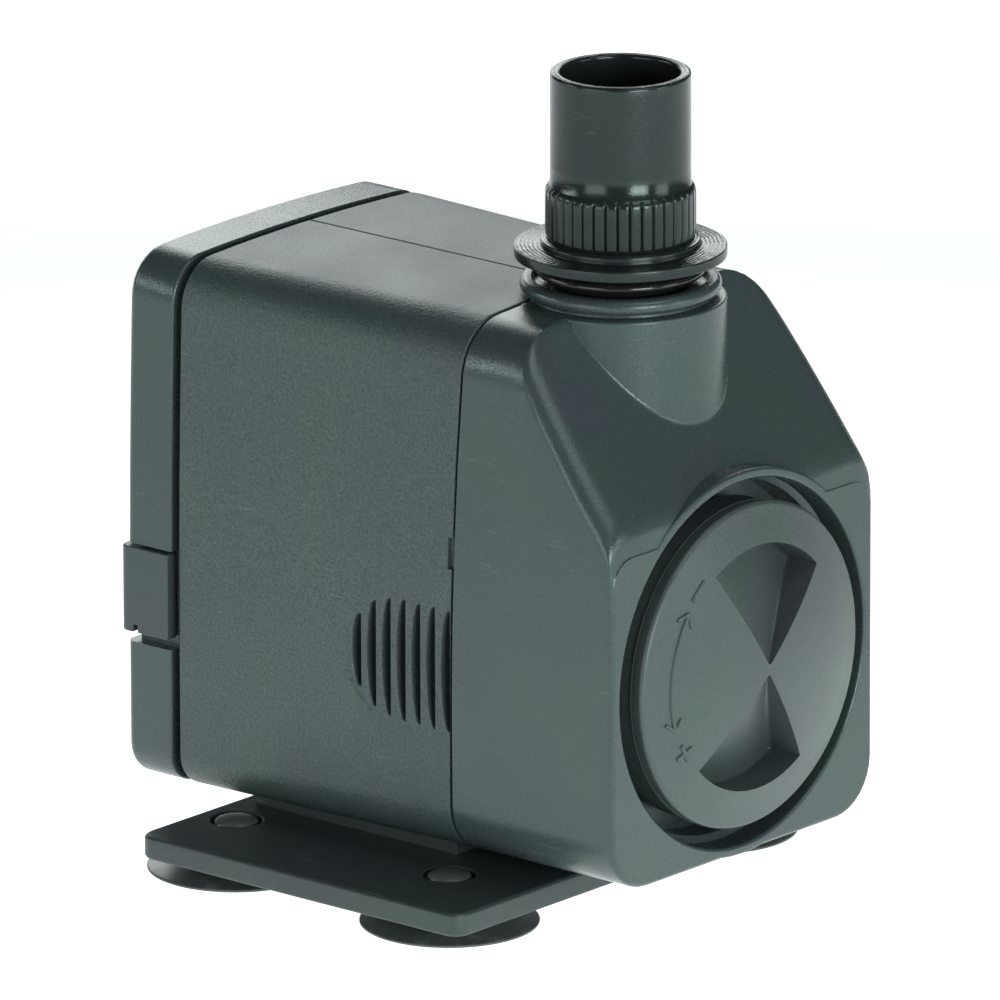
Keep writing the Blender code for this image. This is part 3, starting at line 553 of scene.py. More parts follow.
def metal_winding(name):
    """Enamelled copper wire, laid turn upon turn."""
    wire = 0.42
    material, shader, at = start_material(name, 0.3, metallic=0.9)
    height = part_of(at, 2)
    wander = times(noise(at, 0.3, 1.0), 0.25)
    turns = maths('SINE', times(plus(height, wander), 2 * pi / wire))
    # The colour is darker in the grooves between turns: painted shade, laid over the bump of the same
    # grooves.
    base = mixed(ramp(turns, (0.0, 0.0), (0.6, 1.0)), (0.25, 0.07, 0.02), (0.78, 0.30, 0.10))
    base = mixed(noise(at, 0.8, 3.0), base, (0.55, 0.18, 0.06))
    feed(shader, "Base Color", base)
    feed(shader, "Roughness", plus(times(noise(at, 2.0), 0.25), 0.2))
    bump(shader, (turns, 0.8, 0.15))
    return material


def laminated(name):
    """Stamped steel sheets, stacked along Y, with a little rust."""
    sheet = 0.5
    material, shader, at = start_material(name, 0.4, metallic=0.9)
    depth = part_of(at, 1)
    sheets = maths('SINE', times(depth, 2 * pi / sheet))
    base = mixed(ramp(sheets, (0.0, 0.0), (0.5, 1.0)), (0.10, 0.10, 0.10), (0.42, 0.43, 0.44))
    rust = ramp(noise(at, 0.25, 5.0, 0.7), (0.58, 0.0), (0.72, 1.0))
    base = mixed(times(rust, 0.7), base, (0.23, 0.09, 0.03))
    feed(shader, "Base Color", base)
    feed(shader, "Roughness", plus(times(rust, 0.35), 0.35))
    bump(shader, (sheets, 0.6, 0.08), (noise(at, 2.0, 4.0), 0.3, 0.02))
    return material


def speckled(name, colour, other, rough, scale, depth=0.02, metallic=0.0):
    """Ceramic, ferrite, nylon or resin: two tones in grains, uneven gloss and a fine bump."""
    material, shader, at = start_material(name, rough, metallic=metallic)
    grains = noise(at, scale, 4.0, 0.7)
    clouds = noise(at, scale * 0.08, 2.0)
    base = mixed(ramp(grains, (0.45, 0.0), (0.6, 1.0)), colour, other)
    base = mixed(times(clouds, 0.5), base, tuple(c * 0.7 for c in colour))
    feed(shader, "Base Color", base)
    feed(shader, "Roughness", plus(times(grains, 0.2), rough - 0.1))
    bump(shader, (grains, 0.5, depth))
    return material


BLACK = (0.038, 0.053, 0.053)
MATERIALS = {
    "housing_black": moulded("housing_plastic", BLACK, 0.38, grain=2.6, depth=0.15, sparkle=1.5),
    "cover_black": moulded("cover_plastic", BLACK, 0.24, grain=3.4, depth=0.05),
    "clip_black": moulded("clip_plastic", (0.036, 0.047, 0.048), 0.36, grain=2.8, depth=0.06),
    "plate_black": moulded("plate_plastic", (0.030, 0.036, 0.037), 0.46, grain=2.2, depth=0.06, scuffs=1.0),
    "dial_black": moulded("dial_plastic", (0.050, 0.064, 0.062), 0.36, grain=2.8, depth=0.07),
    "adapter_black": moulded("adapter_plastic", (0.013, 0.017, 0.017), 0.17, grain=3.6, depth=0.018,
                             shine=0.38, turned_about=PIPE),
    "rubber_black": rubber("cup_rubber", (0.060, 0.074, 0.071), 0.34),
    "seal_rubber": rubber("seal_rubber", (0.010, 0.011, 0.011), 0.16, depth=0.006),
    "inner_plastic": moulded("inner_plastic", (0.050, 0.052, 0.055), 0.45, grain=2.4, depth=0.03, scuffs=0.2),
    "bobbin_white": speckled("bobbin_nylon", (0.66, 0.63, 0.55), (0.72, 0.70, 0.62), 0.45, 1.6),
    "winding_copper": metal_winding("copper_wire"),
    "lamination_steel": laminated("core_steel"),
    "resin_brown": speckled("potting", (0.085, 0.052, 0.034), (0.12, 0.08, 0.05), 0.28, 0.7, depth=0.05),
    "ceramic_white": speckled("ceramic", (0.80, 0.79, 0.75), (0.84, 0.83, 0.80), 0.24, 3.0, depth=0.006),
    "ferrite_grey": speckled("ferrite", (0.045, 0.042, 0.042), (0.075, 0.072, 0.072), 0.5, 3.0, metallic=0.1),
}


# Motor unit

def slot_outline(y, half, grow=0.0):
    """One straight side and one bowed side, narrow at both ends."""
    bowed = []
    for i in range(13):
        t = pi * i / 12
        bowed.append((y + (SLOT_WIDTH + grow) * 0.85 * sin(t) - 0.4 * SLOT_WIDTH,
                      SLOT_MIDDLE_H + (half + grow) * cos(t)))
    straight = y - SLOT_WIDTH * 0.5 - grow
    return [(straight, bowed[0][1])] + bowed + [(straight, bowed[-1][1])]


def side_loft(side, levels):
    """A body through outlines of (y, z) points at distances from the plane of symmetry."""
    rings = [[(side * x, y, z) for y, z in outline] for x, outline in levels]
    return loft(rings, triangles=False)


def slot_cutters(side):
    """The slots of one side, a little wider at the skin."""
    skin, wider = HALF_WIDTH, 0.18
    slots = []
    for number, half in enumerate(SLOT_HALF_HEIGHTS):
        y = SLOT_FIRST_Y + SLOT_PITCH * number
        slots.append(side_loft(side, [(skin - WALL - 1.5, slot_outline(y, half)),
                                      (skin - 0.45, slot_outline(y, half)),
                                      (skin - 0.25, slot_outline(y, half, wider)),
                                      (skin + 1.5, slot_outline(y, half, wider))]))
    return merged(*slots)


def slot_dish(side):
    """The shallow sunk field round the slots, with a sloping margin."""
    ends = [(SLOT_FIRST_Y + SLOT_PITCH * n, half) for n, half in enumerate(SLOT_HALF_HEIGHTS)]

    def field(grow):
        right = SLOT_FIRST_Y - 0.6
        upper = [(y, SLOT_MIDDLE_H + half + grow) for y, half in ends]
        lower = [(y, SLOT_MIDDLE_H - half - grow) for y, half in ends]
        last = ends[-1][0] + 0.6 + grow
        middle = ends[-1][1] * 0.6 + grow
        outline = [(right, upper[0][1])] + upper[1:]
        outline += [(last, SLOT_MIDDLE_H + middle), (last, SLOT_MIDDLE_H - middle)]
        return outline + lower[:0:-1] + [(right, lower[0][1])]

    return side_loft(side, [(HALF_WIDTH - 0.25, field(0.5)), (HALF_WIDTH + 0.6, field(2.0))])


def build_housing():
    front = edge_stations(SEAM_Y + GAP / 2, SEAM_EDGE, 1)
    rear = edge_stations(HOUSING_REAR_Y, 0.5, -1)
    middle = [(y, 0.0) for y in (-6.0, 2.0, 10.0, 18.0, 26.0)]
    mesh = solid(body_loft(front + middle + rear, groove=0.16))
    mesh = cut(mesh, body_loft([(SEAM_Y - 2, WALL), (-4.0, WALL), (BULKHEAD_Y, WALL)]))
    for side in (-1, 1):
        mesh = cut(mesh, slot_dish(side), slot_cutters(side))
    mesh = cut(mesh, body_loft([(BULKHEAD_Y + BULKHEAD, WALL), (20.0, WALL), (HOUSING_REAR_Y + 2, WALL)]))
    well = rod(WELL_R + WELL_WALL, WELL_MOUTH_Y, WELL_REAR_Y + WELL_WALL, AXIS, 'Y', FEWER)
    mesh = join(mesh, well, fast=True)
    mouth = rounded([(0, SEAM_Y - 4), (WELL_R + 0.5, SEAM_Y - 4), (WELL_R + 0.5, WELL_MOUTH_Y),
                     (WELL_R, WELL_MOUTH_Y + 0.5), (WELL_R, WELL_REAR_Y, 1.0), (0, WELL_REAR_Y)])
    mesh = cut(mesh, turned(mouth, AXIS, 'Y', FEWER), fast=True)
    notch_deep, notch_low, notch_high = 1.1, 49.2, 53.6
    mesh = cut(mesh, block((-HALF_WIDTH - 1, SEAM_Y - 1, notch_low),
                           (-HALF_WIDTH + notch_deep, SEAM_Y + 0.75, notch_high)))
    piece("housing_shell", mesh, "motor_unit", ["motor_housing"], "housing_black")


def build_rear_cover():
    rear = edge_stations(CAP_REAR_Y, 1.5, -1, 6)
    front = edge_stations(CAP_FRONT_Y, 0.4, 1)
    mesh = solid(body_loft(front + rear))
    lip = WALL + GAP
    lip_front, hollow = HOUSING_REAR_Y - 2.2, lip + 1.4
    mesh = join(mesh, body_loft([(lip_front, lip), (CAP_FRONT_Y + 1, lip)]))
    mesh = cut(mesh, body_loft([(lip_front - 1, hollow), (CAP_REAR_Y - 2.0, hollow)]))
    outer = HALF_WIDTH + 2
    deep = HALF_WIDTH - CLIP_SEAT
    low, high = clip_low.z - 1.5, clip_high.z + GAP
    mesh = cut(mesh, block((-outer, CAP_FRONT_Y - 0.5, low), (-deep, CAP_REAR_Y + 1, high)),
               block((deep, CAP_FRONT_Y - 0.5, low), (outer, CAP_REAR_Y + 1, high)),
               block((-outer, CAP_REAR_Y - CLIP_SEAT_BACK, low), (outer, CAP_REAR_Y + 1, high)),
               rod(GLAND_HOLE_R, CAP_REAR_Y - 6, CAP_REAR_Y + 3, GLAND, 'Y'))
    mesh = bevelled(mesh, 0.22)
    piece("rear_cap", mesh, "motor_unit", ["rear_cover"], "cover_black")


def build_clip():
    inner = HALF_WIDTH - CLIP_SEAT + GAP
    outer, back, front = clip_high.x, clip_high.y, clip_low.y
    rounding = 1.4
    outside = [(-outer, front)] + arc((-outer + rounding, back - rounding), rounding, 180, 90, 8)
    outside += arc((outer - rounding, back - rounding), rounding, 90, 0, 8) + [(outer, front)]
    inside_y = CAP_REAR_Y - CLIP_SEAT_BACK + GAP
    inside = [(inner, front), (inner, inside_y), (-inner, inside_y), (-inner, front)]
    mesh = solid(prism(outside + inside, (clip_low.z, clip_high.z), 'Z'))
    nick = [block((side * (outer - 0.5) - 0.9, back - 3.2, clip_low.z - 1),
                  (side * (outer - 0.5) + 0.9, back - 2.4, clip_low.z + 1.1)) for side in (-1, 1)]
    mesh = cut(mesh, merged(*nick))
    mesh = bevelled(mesh, 0.25, segments=3)
    piece("clip_strap", mesh, "motor_unit", ["rear_clip"], "clip_black")


def build_gland():
    start, flange, end = gland_low.y, CAP_REAR_Y + GAP, gland_high.y
    bore, neck = 2.3, GLAND_HOLE_R - GAP
    profile = [(bore, start), (4.6, start, 0.2), (4.6, CAP_REAR_Y - 2.3), (neck, CAP_REAR_Y - 2.3),
               (neck, flange), (5.2, flange, 0.2), (5.2, flange + 1.3, 0.5), (4.0, flange + 1.8, 0.3)]
    ribs = 3
    reach = end - 0.5 - (flange + 1.8)
    for rib in range(ribs):
        base = flange + 1.8 + reach * rib / ribs
        profile += [(3.9, base + reach * 0.10, 0.15), (3.9, base + reach * 0.2, 0.15),
                    (3.45, base + reach * 0.24, 0.1), (3.45, base + reach * 0.31, 0.1)]
    profile += [(3.4, end - 0.4, 0.1), (3.0, end, 0.3), (bore, end, 0.2)]
    mesh = solid(turned(rounded(profile), GLAND, 'Y', FEWER))
    piece("lead_gland", mesh, "motor_unit", ["cable_gland"], "rubber_black")


# Front cover, dial and outlet

def boss_fillet():
    """A thin concave strip along the line where the boss leaves the sloped face."""
    section_r, steps = 0.5, 72
    start, sweep = -200, 220                # degrees round the boss
    top_limit = TOP + CROWN - 0.6
    normal = Vector((0.0, -1.0, SLOPE_RUN)).normalized()
    up = Vector((0.0, 0.0, 1.0))
    rings = []
    for step in range(steps + 1):
        angle = radians(start + sweep * step / steps)
        out = Vector((cos(angle), sin(angle), 0.0))
        y = PIPE[1] + BOSS_R * sin(angle)
        if slope_height(y) >= top_limit:
            continue
        corner = Vector((PIPE[0] + BOSS_R * cos(angle), y, slope_height(y)))
        along = (out - normal * out.dot(normal)).normalized()
        foot, head = corner + along * section_r, corner + up * section_r
        ring = [corner - along * 0.4 - up * 0.5, foot - normal * 0.15 + along * 0.1]
        ring += [bent(foot, corner, head, k / 4) for k in range(5)]
        ring.append(head - out * 0.15 + up * 0.1)
        rings.append(ring)
    return loft(rings)


def build_front_cover():
    crest = FRONT_Y + (TOP + CROWN - SLOPE_FOOT) * SLOPE_RUN
    front = edge_stations(FRONT_Y, FRONT_EDGE, 1, 6) + [(FRONT_Y + d, 0.0) for d in (1.1, 1.45, 1.8)]
    slope = [(crest - d, 0.0) for d in (17.0, 14.0, 11.0, 9.0, 7.5, 6.2, 5.2, 4.4, 3.6, 2.9, 2.2, 1.6, 1.0,
                                        0.5, 0.0, -0.7, -2.5)]
    back = edge_stations(SEAM_Y - GAP / 2, SEAM_EDGE, -1)
    mesh = solid(body_loft(front + slope + back, True))
    hollow_slope = [crest - d for d in (14.0, 7.5, 5.2, 3.6, 2.2, 1.0, 0.0)]
    hollow = [(FRONT_Y + WALL, WALL)] + [(y + 1.4, WALL) for y in hollow_slope]
    mesh = cut(mesh, body_loft(hollow + [(SEAM_Y + 2.0, WALL)], True), fast=True)

    wall_rear = DIAL_WALL_Y + DIAL_WALL
    collar = rounded([(0, FRONT_Y + 0.02), (COLLAR_R, FRONT_Y + 0.02, 0.5), (COLLAR_R, wall_rear),
                      (0, wall_rear)])
    mesh = join(mesh, turned(collar, AXIS, 'Y'), fast=True)

    sleeve = SOCKET_R + 1.1
    bead_r = (BEAD_TOP - BOSS_TOP - 0.5) / 2
    recess = BEAD_TOP - 1.0
    bead = arc((BEAD_R - bead_r, BEAD_TOP - bead_r), bead_r, -90, 80, 10)
    neck = BEAD_R - bead_r - 0.1
    boss = [(0, BOSS_BASE), (sleeve, BOSS_BASE), (sleeve, BOSS_FOOT - 0.6), (BOSS_R, BOSS_FOOT),
            (BOSS_R, BOSS_TOP, 0.35), (neck, BOSS_TOP, 0.25), (neck, BOSS_TOP + 0.5)]
    boss += bead + [(RECESS_R + 0.1, BEAD_TOP - 0.02), (RECESS_R - 0.1, BEAD_TOP - 0.25)]
    boss += [(RECESS_R - 0.1, recess), (0, recess)]
    mesh = join(mesh, turned(rounded(boss), PIPE), boss_fillet(), fast=True)
    behind = block((-20, SEAM_Y - GAP / 2, 50), (20, SEAM_Y + 12, TOP + CROWN + GAP))
    mesh = cut(mesh, behind, fast=True)

    lip_y, edge = FRONT_Y + 4.5, 0.5
    mouth = [(0, FRONT_Y - 2), (OPENING_R + edge, FRONT_Y - 2)]
    mouth += [(OPENING_R + edge - edge * sin(t), FRONT_Y + edge - edge * cos(t))
              for t in (radians(a) for a in (0, 22, 45, 67, 90))]
    mouth += [(OPENING_R, lip_y - 0.5, 0.1), (OPENING_R - 1.0, lip_y, 0.25), (OPENING_R - 1.0, DIAL_WALL_Y),
              (0, DIAL_WALL_Y)]
    mesh = cut(mesh, turned(rounded(mouth), AXIS, 'Y'), fast=True)
    mesh = cut(mesh, rod(DIAL_HUB_R + GAP, DIAL_WALL_Y - 1, wall_rear + 1, AXIS, 'Y', 64), fast=True)
    mesh = cut(mesh, rod(SOCKET_R, BOSS_BASE - 2, BEAD_TOP + 1, PIPE, 'Z', FEWER), fast=True)
    piece("cover_shell", mesh, "front_cover", ["front_cover"], "cover_black")


def dial_face_y(radius):
    return DIAL_EDGE_Y - DIAL_CROWN * (1 - (radius / (DIAL_R - 1.0)) ** 2)


def pocket_cutter(middle):
    """A fan-shaped pocket whose floor climbs to the middle of the dial, with rounded floor corners."""
    rows, columns = 18, 24
    apex_lift, corner_r = 0.5, 0.7
    front = dial_face_y(0) - 3.0
    apex = Vector((apex_lift * cos(middle), apex_lift * sin(middle)))
    floor_apex, floor_rim = dial_face_y(0) + 0.25, dial_face_y(POCKET_R) + POCKET_DEPTH
    bm = bmesh.new()
    high, low = [], []
    for i in range(rows + 1):
        share = i / rows
        t = 0.02 + 0.98 * (share if share < 0.8 else 0.8 + 0.2 * sin((share - 0.8) / 0.2 * pi / 2))
        top_row, low_row = [], []
        for j in range(columns + 1):
            s = 2 * j / columns - 1
            s = copysign(1 - (1 - abs(s)) ** 2, s)
            angle = middle + s * POCKET_HALF_ANGLE
            rim = Vector((POCKET_R * cos(angle), POCKET_R * sin(angle)))
            spot = apex.lerp(rim, t)
            deep = floor_apex + (floor_rim - floor_apex) * t ** 0.9
            reach = min((1 - abs(s)) * POCKET_HALF_ANGLE * POCKET_R * t, (1 - t) * POCKET_R)
            radius = min(corner_r, 0.10 * POCKET_R * t)
            if reach < radius:
                deep -= (radius - sqrt(max(0.0, radius ** 2 - (radius - reach) ** 2))) * 0.9
            top_row.append(bm.verts.new((AXIS_X + spot.x, front, AXIS_H + spot.y)))
            low_row.append(bm.verts.new((AXIS_X + spot.x, deep, AXIS_H + spot.y)))
        high.append(top_row)
        low.append(low_row)
    for i in range(rows):
        for j in range(columns):
            bm.faces.new((low[i][j], low[i][j + 1], low[i + 1][j + 1], low[i + 1][j]))
            bm.faces.new((high[i][j], high[i + 1][j], high[i + 1][j + 1], high[i][j + 1]))
    for i in range(rows):
        for j in (0, columns):
            bm.faces.new((low[i][j], low[i + 1][j], high[i + 1][j], high[i][j]))
    for j in range(columns):
        for i in (0, rows):
            bm.faces.new((low[i][j], low[i][j + 1], high[i][j + 1], high[i][j]))
    return bm


def raised_stroke(points, width):
    """A raised line on the dial's face through (radius, degrees) points."""
    proud = 0.3
    spots = []
    for radius, heading in points:
        t = radians(heading)
        spots.append(Vector((radius * cos(t), radius * sin(t))))
    rings = []
    for i, spot in enumerate(spots):
        ahead = spots[min(i + 1, len(spots) - 1)] - spots[max(i - 1, 0)]
        side = Vector((-ahead.y, ahead.x)).normalized()
        ring = []
        for across, lift in ((-0.5, -0.5), (-0.5, 0.6), (-0.3, 1.0), (0.3, 1.0), (0.5, 0.6), (0.5, -0.5)):
            at = spot + side * width * across
            y = dial_face_y(at.length) - proud * lift
            ring.append((AXIS_X + at.x, y, AXIS_H + at.y))
        rings.append(ring)
    return loft(rings)


def dial_marks():
    """Generic minus, double arrow and plus on the left of the dial."""
    arrow_from, arrow_to, arrow_r, cross = 143.5, 196.5, 17.8, 209.5
    sweep = [(arrow_r, arrow_from + (arrow_to - arrow_from) * k / 16) for k in range(17)]
    strokes = [raised_stroke([(18.0, 127.0), (18.0, 130.5), (18.0, 134.0), (18.0, 137.5)], 0.7),
               raised_stroke(sweep, 0.5)]
    for end, inward in ((arrow_from, 1), (arrow_to, -1)):
        for spread in (-1.3, 1.3):
            head = [(arrow_r, end - inward * 0.3), (arrow_r + spread, end + inward * 4.6)]
            strokes.append(raised_stroke(head, 0.5))
    strokes.append(raised_stroke([(16.1, cross), (18.9, cross)], 0.55))
    strokes.append(raised_stroke([(17.5, cross - 4.6), (17.5, cross + 4.6)], 0.55))
    return strokes


def build_dial():
    face = [(r, dial_face_y(r)) for r in (0, 2, 4, 6, 8, 10, 12, 14, 16, 18, 19.6, 20.8)]
    rim = [(DIAL_R - 0.8 + 0.8 * sin(t), DIAL_EDGE_Y + 0.8 - 0.8 * cos(t)) for t in
           (radians(a) for a in (15, 30, 50, 70, 90))]
    back = DIAL_EDGE_Y + DIAL_THICK
    skirt = rounded([(DIAL_R, DIAL_EDGE_Y + 2.2, 0.1), (DIAL_R - 0.5, DIAL_EDGE_Y + 2.6, 0.1),
                     (DIAL_R - 0.5, back, 0.3), (DIAL_HUB_R, back)])[:-1]
    hub_rear = dial_high.y
    stem = [(DIAL_HUB_R, back), (DIAL_HUB_R, hub_rear - 0.4), (DIAL_HUB_R - 0.4, hub_rear), (0, hub_rear)]
    mesh = solid(turned(face + rim + skirt + stem, AXIS, 'Y'))
    for turn in (90.0, 270.0):
        mesh = cut(mesh, pocket_cutter(radians(turn) - DIAL_TURN))
    mesh = join(mesh, *dial_marks())
    piece("dial_knob", mesh, "dial", ["flow_dial"], "dial_black")


def build_hose_tail():
    spigot = SOCKET_R - GAP
    low = FLANGE_TOP - FLANGE_THICK
    neck, step_r, step_z = 9.3, 12.5, 88.0
    profile = rounded([(SPIGOT_BORE_R, SPIGOT_BOTTOM), (spigot, SPIGOT_BOTTOM, 0.3), (spigot, BEAD_TOP - 0.7),
                       (neck, BEAD_TOP - 0.7, 0.2), (neck, step_z), (step_r, step_z, 0.25), (step_r, low),
                       (FLANGE_R, low, 0.25), (FLANGE_R, FLANGE_TOP, 0.25), (10.8, FLANGE_TOP, 0.15),
                       (10.8, FLANGE_TOP + 0.9, 0.3), (PIPE_R + 0.1, FLANGE_TOP + 1.25, 0.1)])
    first = len(profile)
    base = PIPE_R + 0.12
    profile += [(base, KNURL_BOTTOM + d) for d in (-0.02, 0.15, 0.35)]
    profile += [(base, KNURL_TOP - d) for d in (2.4, 1.0, 0.55, 0.2, 0.0)]
    shares = (0.35, 0.8, 1.0, 1.0, 1.0, 0.85, 0.5, 0.0)      # of a rib's full height, at those points
    profile += [(PIPE_R, KNURL_TOP + 0.12), (PIPE_R, KNURL_TOP + 3), (PIPE_R, PIPE_TOP - 4)]
    profile += rounded([(PIPE_R, PIPE_TOP - 1.5), (PIPE_R, PIPE_TOP, 0.45), (PIPE_BORE_R, PIPE_TOP, 0.5),
                        (PIPE_BORE_R, PIPE_TOP - 1.5)])
    profile += [(PIPE_BORE_R, 92.0), (SPIGOT_BORE_R, step_z)]
    height = KNURL_R - base

    def ribs(angle, index):
        if not 0 <= index - first < len(shares):
            return 0.0
        place = angle / (2 * pi) * KNURL_RIBS % 1.0
        wave = min(1.0, min(place, 1.0 - place) / 0.17)
        return height * shares[index - first] * (0.15 + 0.85 * sin(wave * pi / 2))

    mesh = solid(turned(profile, PIPE, steps=KNURL_RIBS * 10, shape=ribs))
    piece("hose_tail", mesh, "adapter", ["outlet_adapter"], "adapter_black", sharp=50)


def build_seal(name, body, seal, centre, axis, sides):
    """A rubber ring of round section."""
    low, high = box_mm(seal)
    middle, minor = (high[axis] + low[axis]) / 2, (high[axis] - low[axis]) / 2
    major = (high.x - low.x) / 2 - minor
    section = [(major + minor * cos(t), middle + minor * sin(t)) for t in
               (2 * pi * i / sides for i in range(sides))]
    piece(name, solid(turned(section, centre, "XYZ"[axis])), body, [seal], "seal_rubber")


# Feet

CUP_NODES = ("suction_cup_front_left", "suction_cup_front_right", "suction_cup_rear_left",
             "suction_cup_rear_right")
PLATE_TOP = 6.65
RAIL_X, RAIL_HALF, RAIL_Y = 17.0, 3.0, (-10.0, 26.0)


def build_plate():
    x, y = [(plate_low[i], plate_high[i]) for i in range(2)]
    low, top = plate_low.z, PLATE_TOP
    levels = [(low, 0.45), (low + 0.15, 0.15), (low + 0.45, 0), (top - 0.55, 0), (top - 0.35, 0.08),
              (top - 0.15, 0.3), (top, 0.6)]
    rings = []
    for height, inset in levels:
        spans = (x[0] + inset, x[1] - inset), (y[0] + inset, y[1] - inset)
        rings.append([(a, b, height) for a, b in rounded_rectangle(*spans, 2.5 - inset * 0.6)])
    mesh = solid(loft(rings, triangles=False))
    for side in (-1, 1):
        mesh = join(mesh, block((side * RAIL_X - RAIL_HALF, RAIL_Y[0], top - 1.0),
                                (side * RAIL_X + RAIL_HALF, RAIL_Y[1], BOTTOM - GAP)))
    for cup in CUP_NODES:
        hole = rounded([(0, low - 1), (2.1, low - 1), (2.1, top - 0.9), (3.6, top - 0.9, 0.15),
                        (3.6, top - 0.2), (3.85, top + 0.02), (3.85, top + 1), (0, top + 1)])
        mesh = cut(mesh, turned(hole, centre_of(cup, (X, Y)), steps=64))
    piece("foot_plate", mesh, "motor_unit", ["base_plate"], "plate_black")


def build_cup(cup):
    low, high = box_mm(cup)
    radius = (high.x - low.x) / 2
    head = high.z - 1.1
    profile = [(0, 1.5), (3.0, 1.42), (5.0, 1.2), (7.0, 0.9), (9.0, 0.5), (10.4, 0.22), (11.4, 0.03),
               (radius - 0.2, 0.0), (radius, 0.12), (radius, 0.34), (radius - 0.2, 0.5), (radius - 1.5, 0.75),
               (9.0, 1.35), (7.0, 1.85), (5.0, 2.35), (4.1, 2.65), (3.6, 3.0), (1.8, 3.0)]
    profile += [(1.8, head), (2.95, head), (3.05, head + 0.12), (3.0, head + 0.35), (2.75, head + 0.62),
                (2.2, head + 0.86), (1.4, head + 1.02), (0.7, head + 1.08), (0, head + 1.1)]
    mesh = solid(turned(profile, centre_of(cup, (X, Y)), steps=FEWER))
    piece(cup.replace("suction_", "") + "_rubber", mesh, "motor_unit", [cup], "rubber_black")


build_housing()
build_rear_cover()
build_clip()
build_gland()
build_front_cover()
build_dial()
build_hose_tail()
build_seal("outlet_ring", "adapter_seal", "outlet_seal", PIPE, Z, 24)
build_plate()
for cup_node in CUP_NODES:
    build_cup(cup_node)


# Pieces inside

CHAMBER_R, CHAMBER_WALL, CHAMBER_FRONT_Y, CHAMBER_REAR_Y = 18.2, 2.0, -29.5, -17.0
WINDOW_R, WINDOW_HALF_ANGLE = (5.4, 12.0), 42.0
SHAFT_R, SHAFT_Y = 1.5, (-27.8, 27.6)
MAGNET_R, MAGNET_Y = 11.2, (6.9, 24.6)
CORE_Y, CORE_HALF, LEG_X, COIL_H = (11.2, 23.2), 22.0, (8.0, 18.0), (54.0, 67.6)
BORE = SHAFT_R + GAP


def spun(name, profile, body, replaced, slot, edge=0.2):
    """A turned piece about the rotor's axis, with its corners rounded."""
    mesh = solid(turned(rounded(profile, edge), AXIS, 'Y', FEWER))
    piece(name, mesh, body, [replaced], slot)


def inlet_windows(start, end):
    """The two fan-shaped windows, which the chamber and the shutter share."""
    windows = []
    for side in (0, 180):
        outer = arc(AXIS, WINDOW_R[1], side - WINDOW_HALF_ANGLE, side + WINDOW_HALF_ANGLE, 24)
        inner = arc(AXIS, WINDOW_R[0], side + WINDOW_HALF_ANGLE, side - WINDOW_HALF_ANGLE, 16)
        windows.append(prism(outer + inner, (start, end)))
    return merged(*windows)


def build_volute():
    """The impeller's chamber: a cup with a seat for the front bush, and a spout into the boss."""
    inner = CHAMBER_R - CHAMBER_WALL
    floor, seat = CHAMBER_FRONT_Y + 1.8, CHAMBER_FRONT_Y + 0.6
    cup = [(0, CHAMBER_FRONT_Y), (CHAMBER_R, CHAMBER_FRONT_Y, 0.6), (CHAMBER_R, CHAMBER_REAR_Y, 0.3),
           (inner, CHAMBER_REAR_Y, 0.3), (inner, floor, 0.6), (4.4, floor, 0.3), (4.4, floor + 1.7, 0.2),
           (2.9, floor + 1.7, 0.2), (2.9, seat), (0, seat)]
    mesh = solid(turned(rounded(cup), AXIS, 'Y', FEWER))
    centre = (0.0, (CHAMBER_FRONT_Y + CHAMBER_REAR_Y) / 2)
    start, top, spout_r, spout_bore_r = AXIS_H + inner + 0.6, BOSS_BASE - GAP, 6.2, 4.9
    spout = rounded([(0, start), (spout_r, start), (spout_r, top, 0.3), (0, top)])
    mesh = join(mesh, turned(spout, centre, steps=64), fast=True)
    mesh = cut(mesh, rod(spout_bore_r, AXIS_H + 12, top + 2, centre, steps=64), fast=True)
    mesh = cut(mesh, inlet_windows(CHAMBER_FRONT_Y - 1, floor + 0.5), fast=True)
    piece("volute", mesh, "front_cover", ["impeller_chamber"], "inner_plastic")


def build_shutter():
    """The disc behind the dial that covers and uncovers the chamber's windows."""
    front, outer = DIAL_WALL_Y + DIAL_WALL + 0.9, WINDOW_R[1] + 1.0
    rear = front + 1.6
    disc = rounded([(0, front), (outer, front, 0.2), (outer, rear, 0.2), (0, rear)])
    mesh = solid(turned(disc, AXIS, 'Y', FEWER))
    mesh = cut(mesh, inlet_windows(front - 1, front + 3), fast=True)
    mesh = bevelled(mesh, 0.12)
    piece("shutter", mesh, "dial", ["flow_regulator"], "inner_plastic")


def build_partition():
    """The plate that closes the chamber, with a seal groove in its rim and a collar in the well."""
    front = CHAMBER_REAR_Y - 0.8
    rear, hole, rim, groove = front + 2.6, 6.2, 15.8, 14.4
    collar, collar_bore, collar_rear = WELL_R - GAP, WELL_R - 1.8, front + 7.0
    spun("partition", [(hole, front), (rim, front), (rim, front + 0.7), (groove, front + 0.7, 0.1),
                       (groove, front + 1.9, 0.1), (rim, front + 1.9), (rim, rear), (collar, rear),
                       (collar, collar_rear), (collar_bore, collar_rear), (collar_bore, rear), (hole, rear)],
         "motor_unit", "chamber_plate", "inner_plastic")


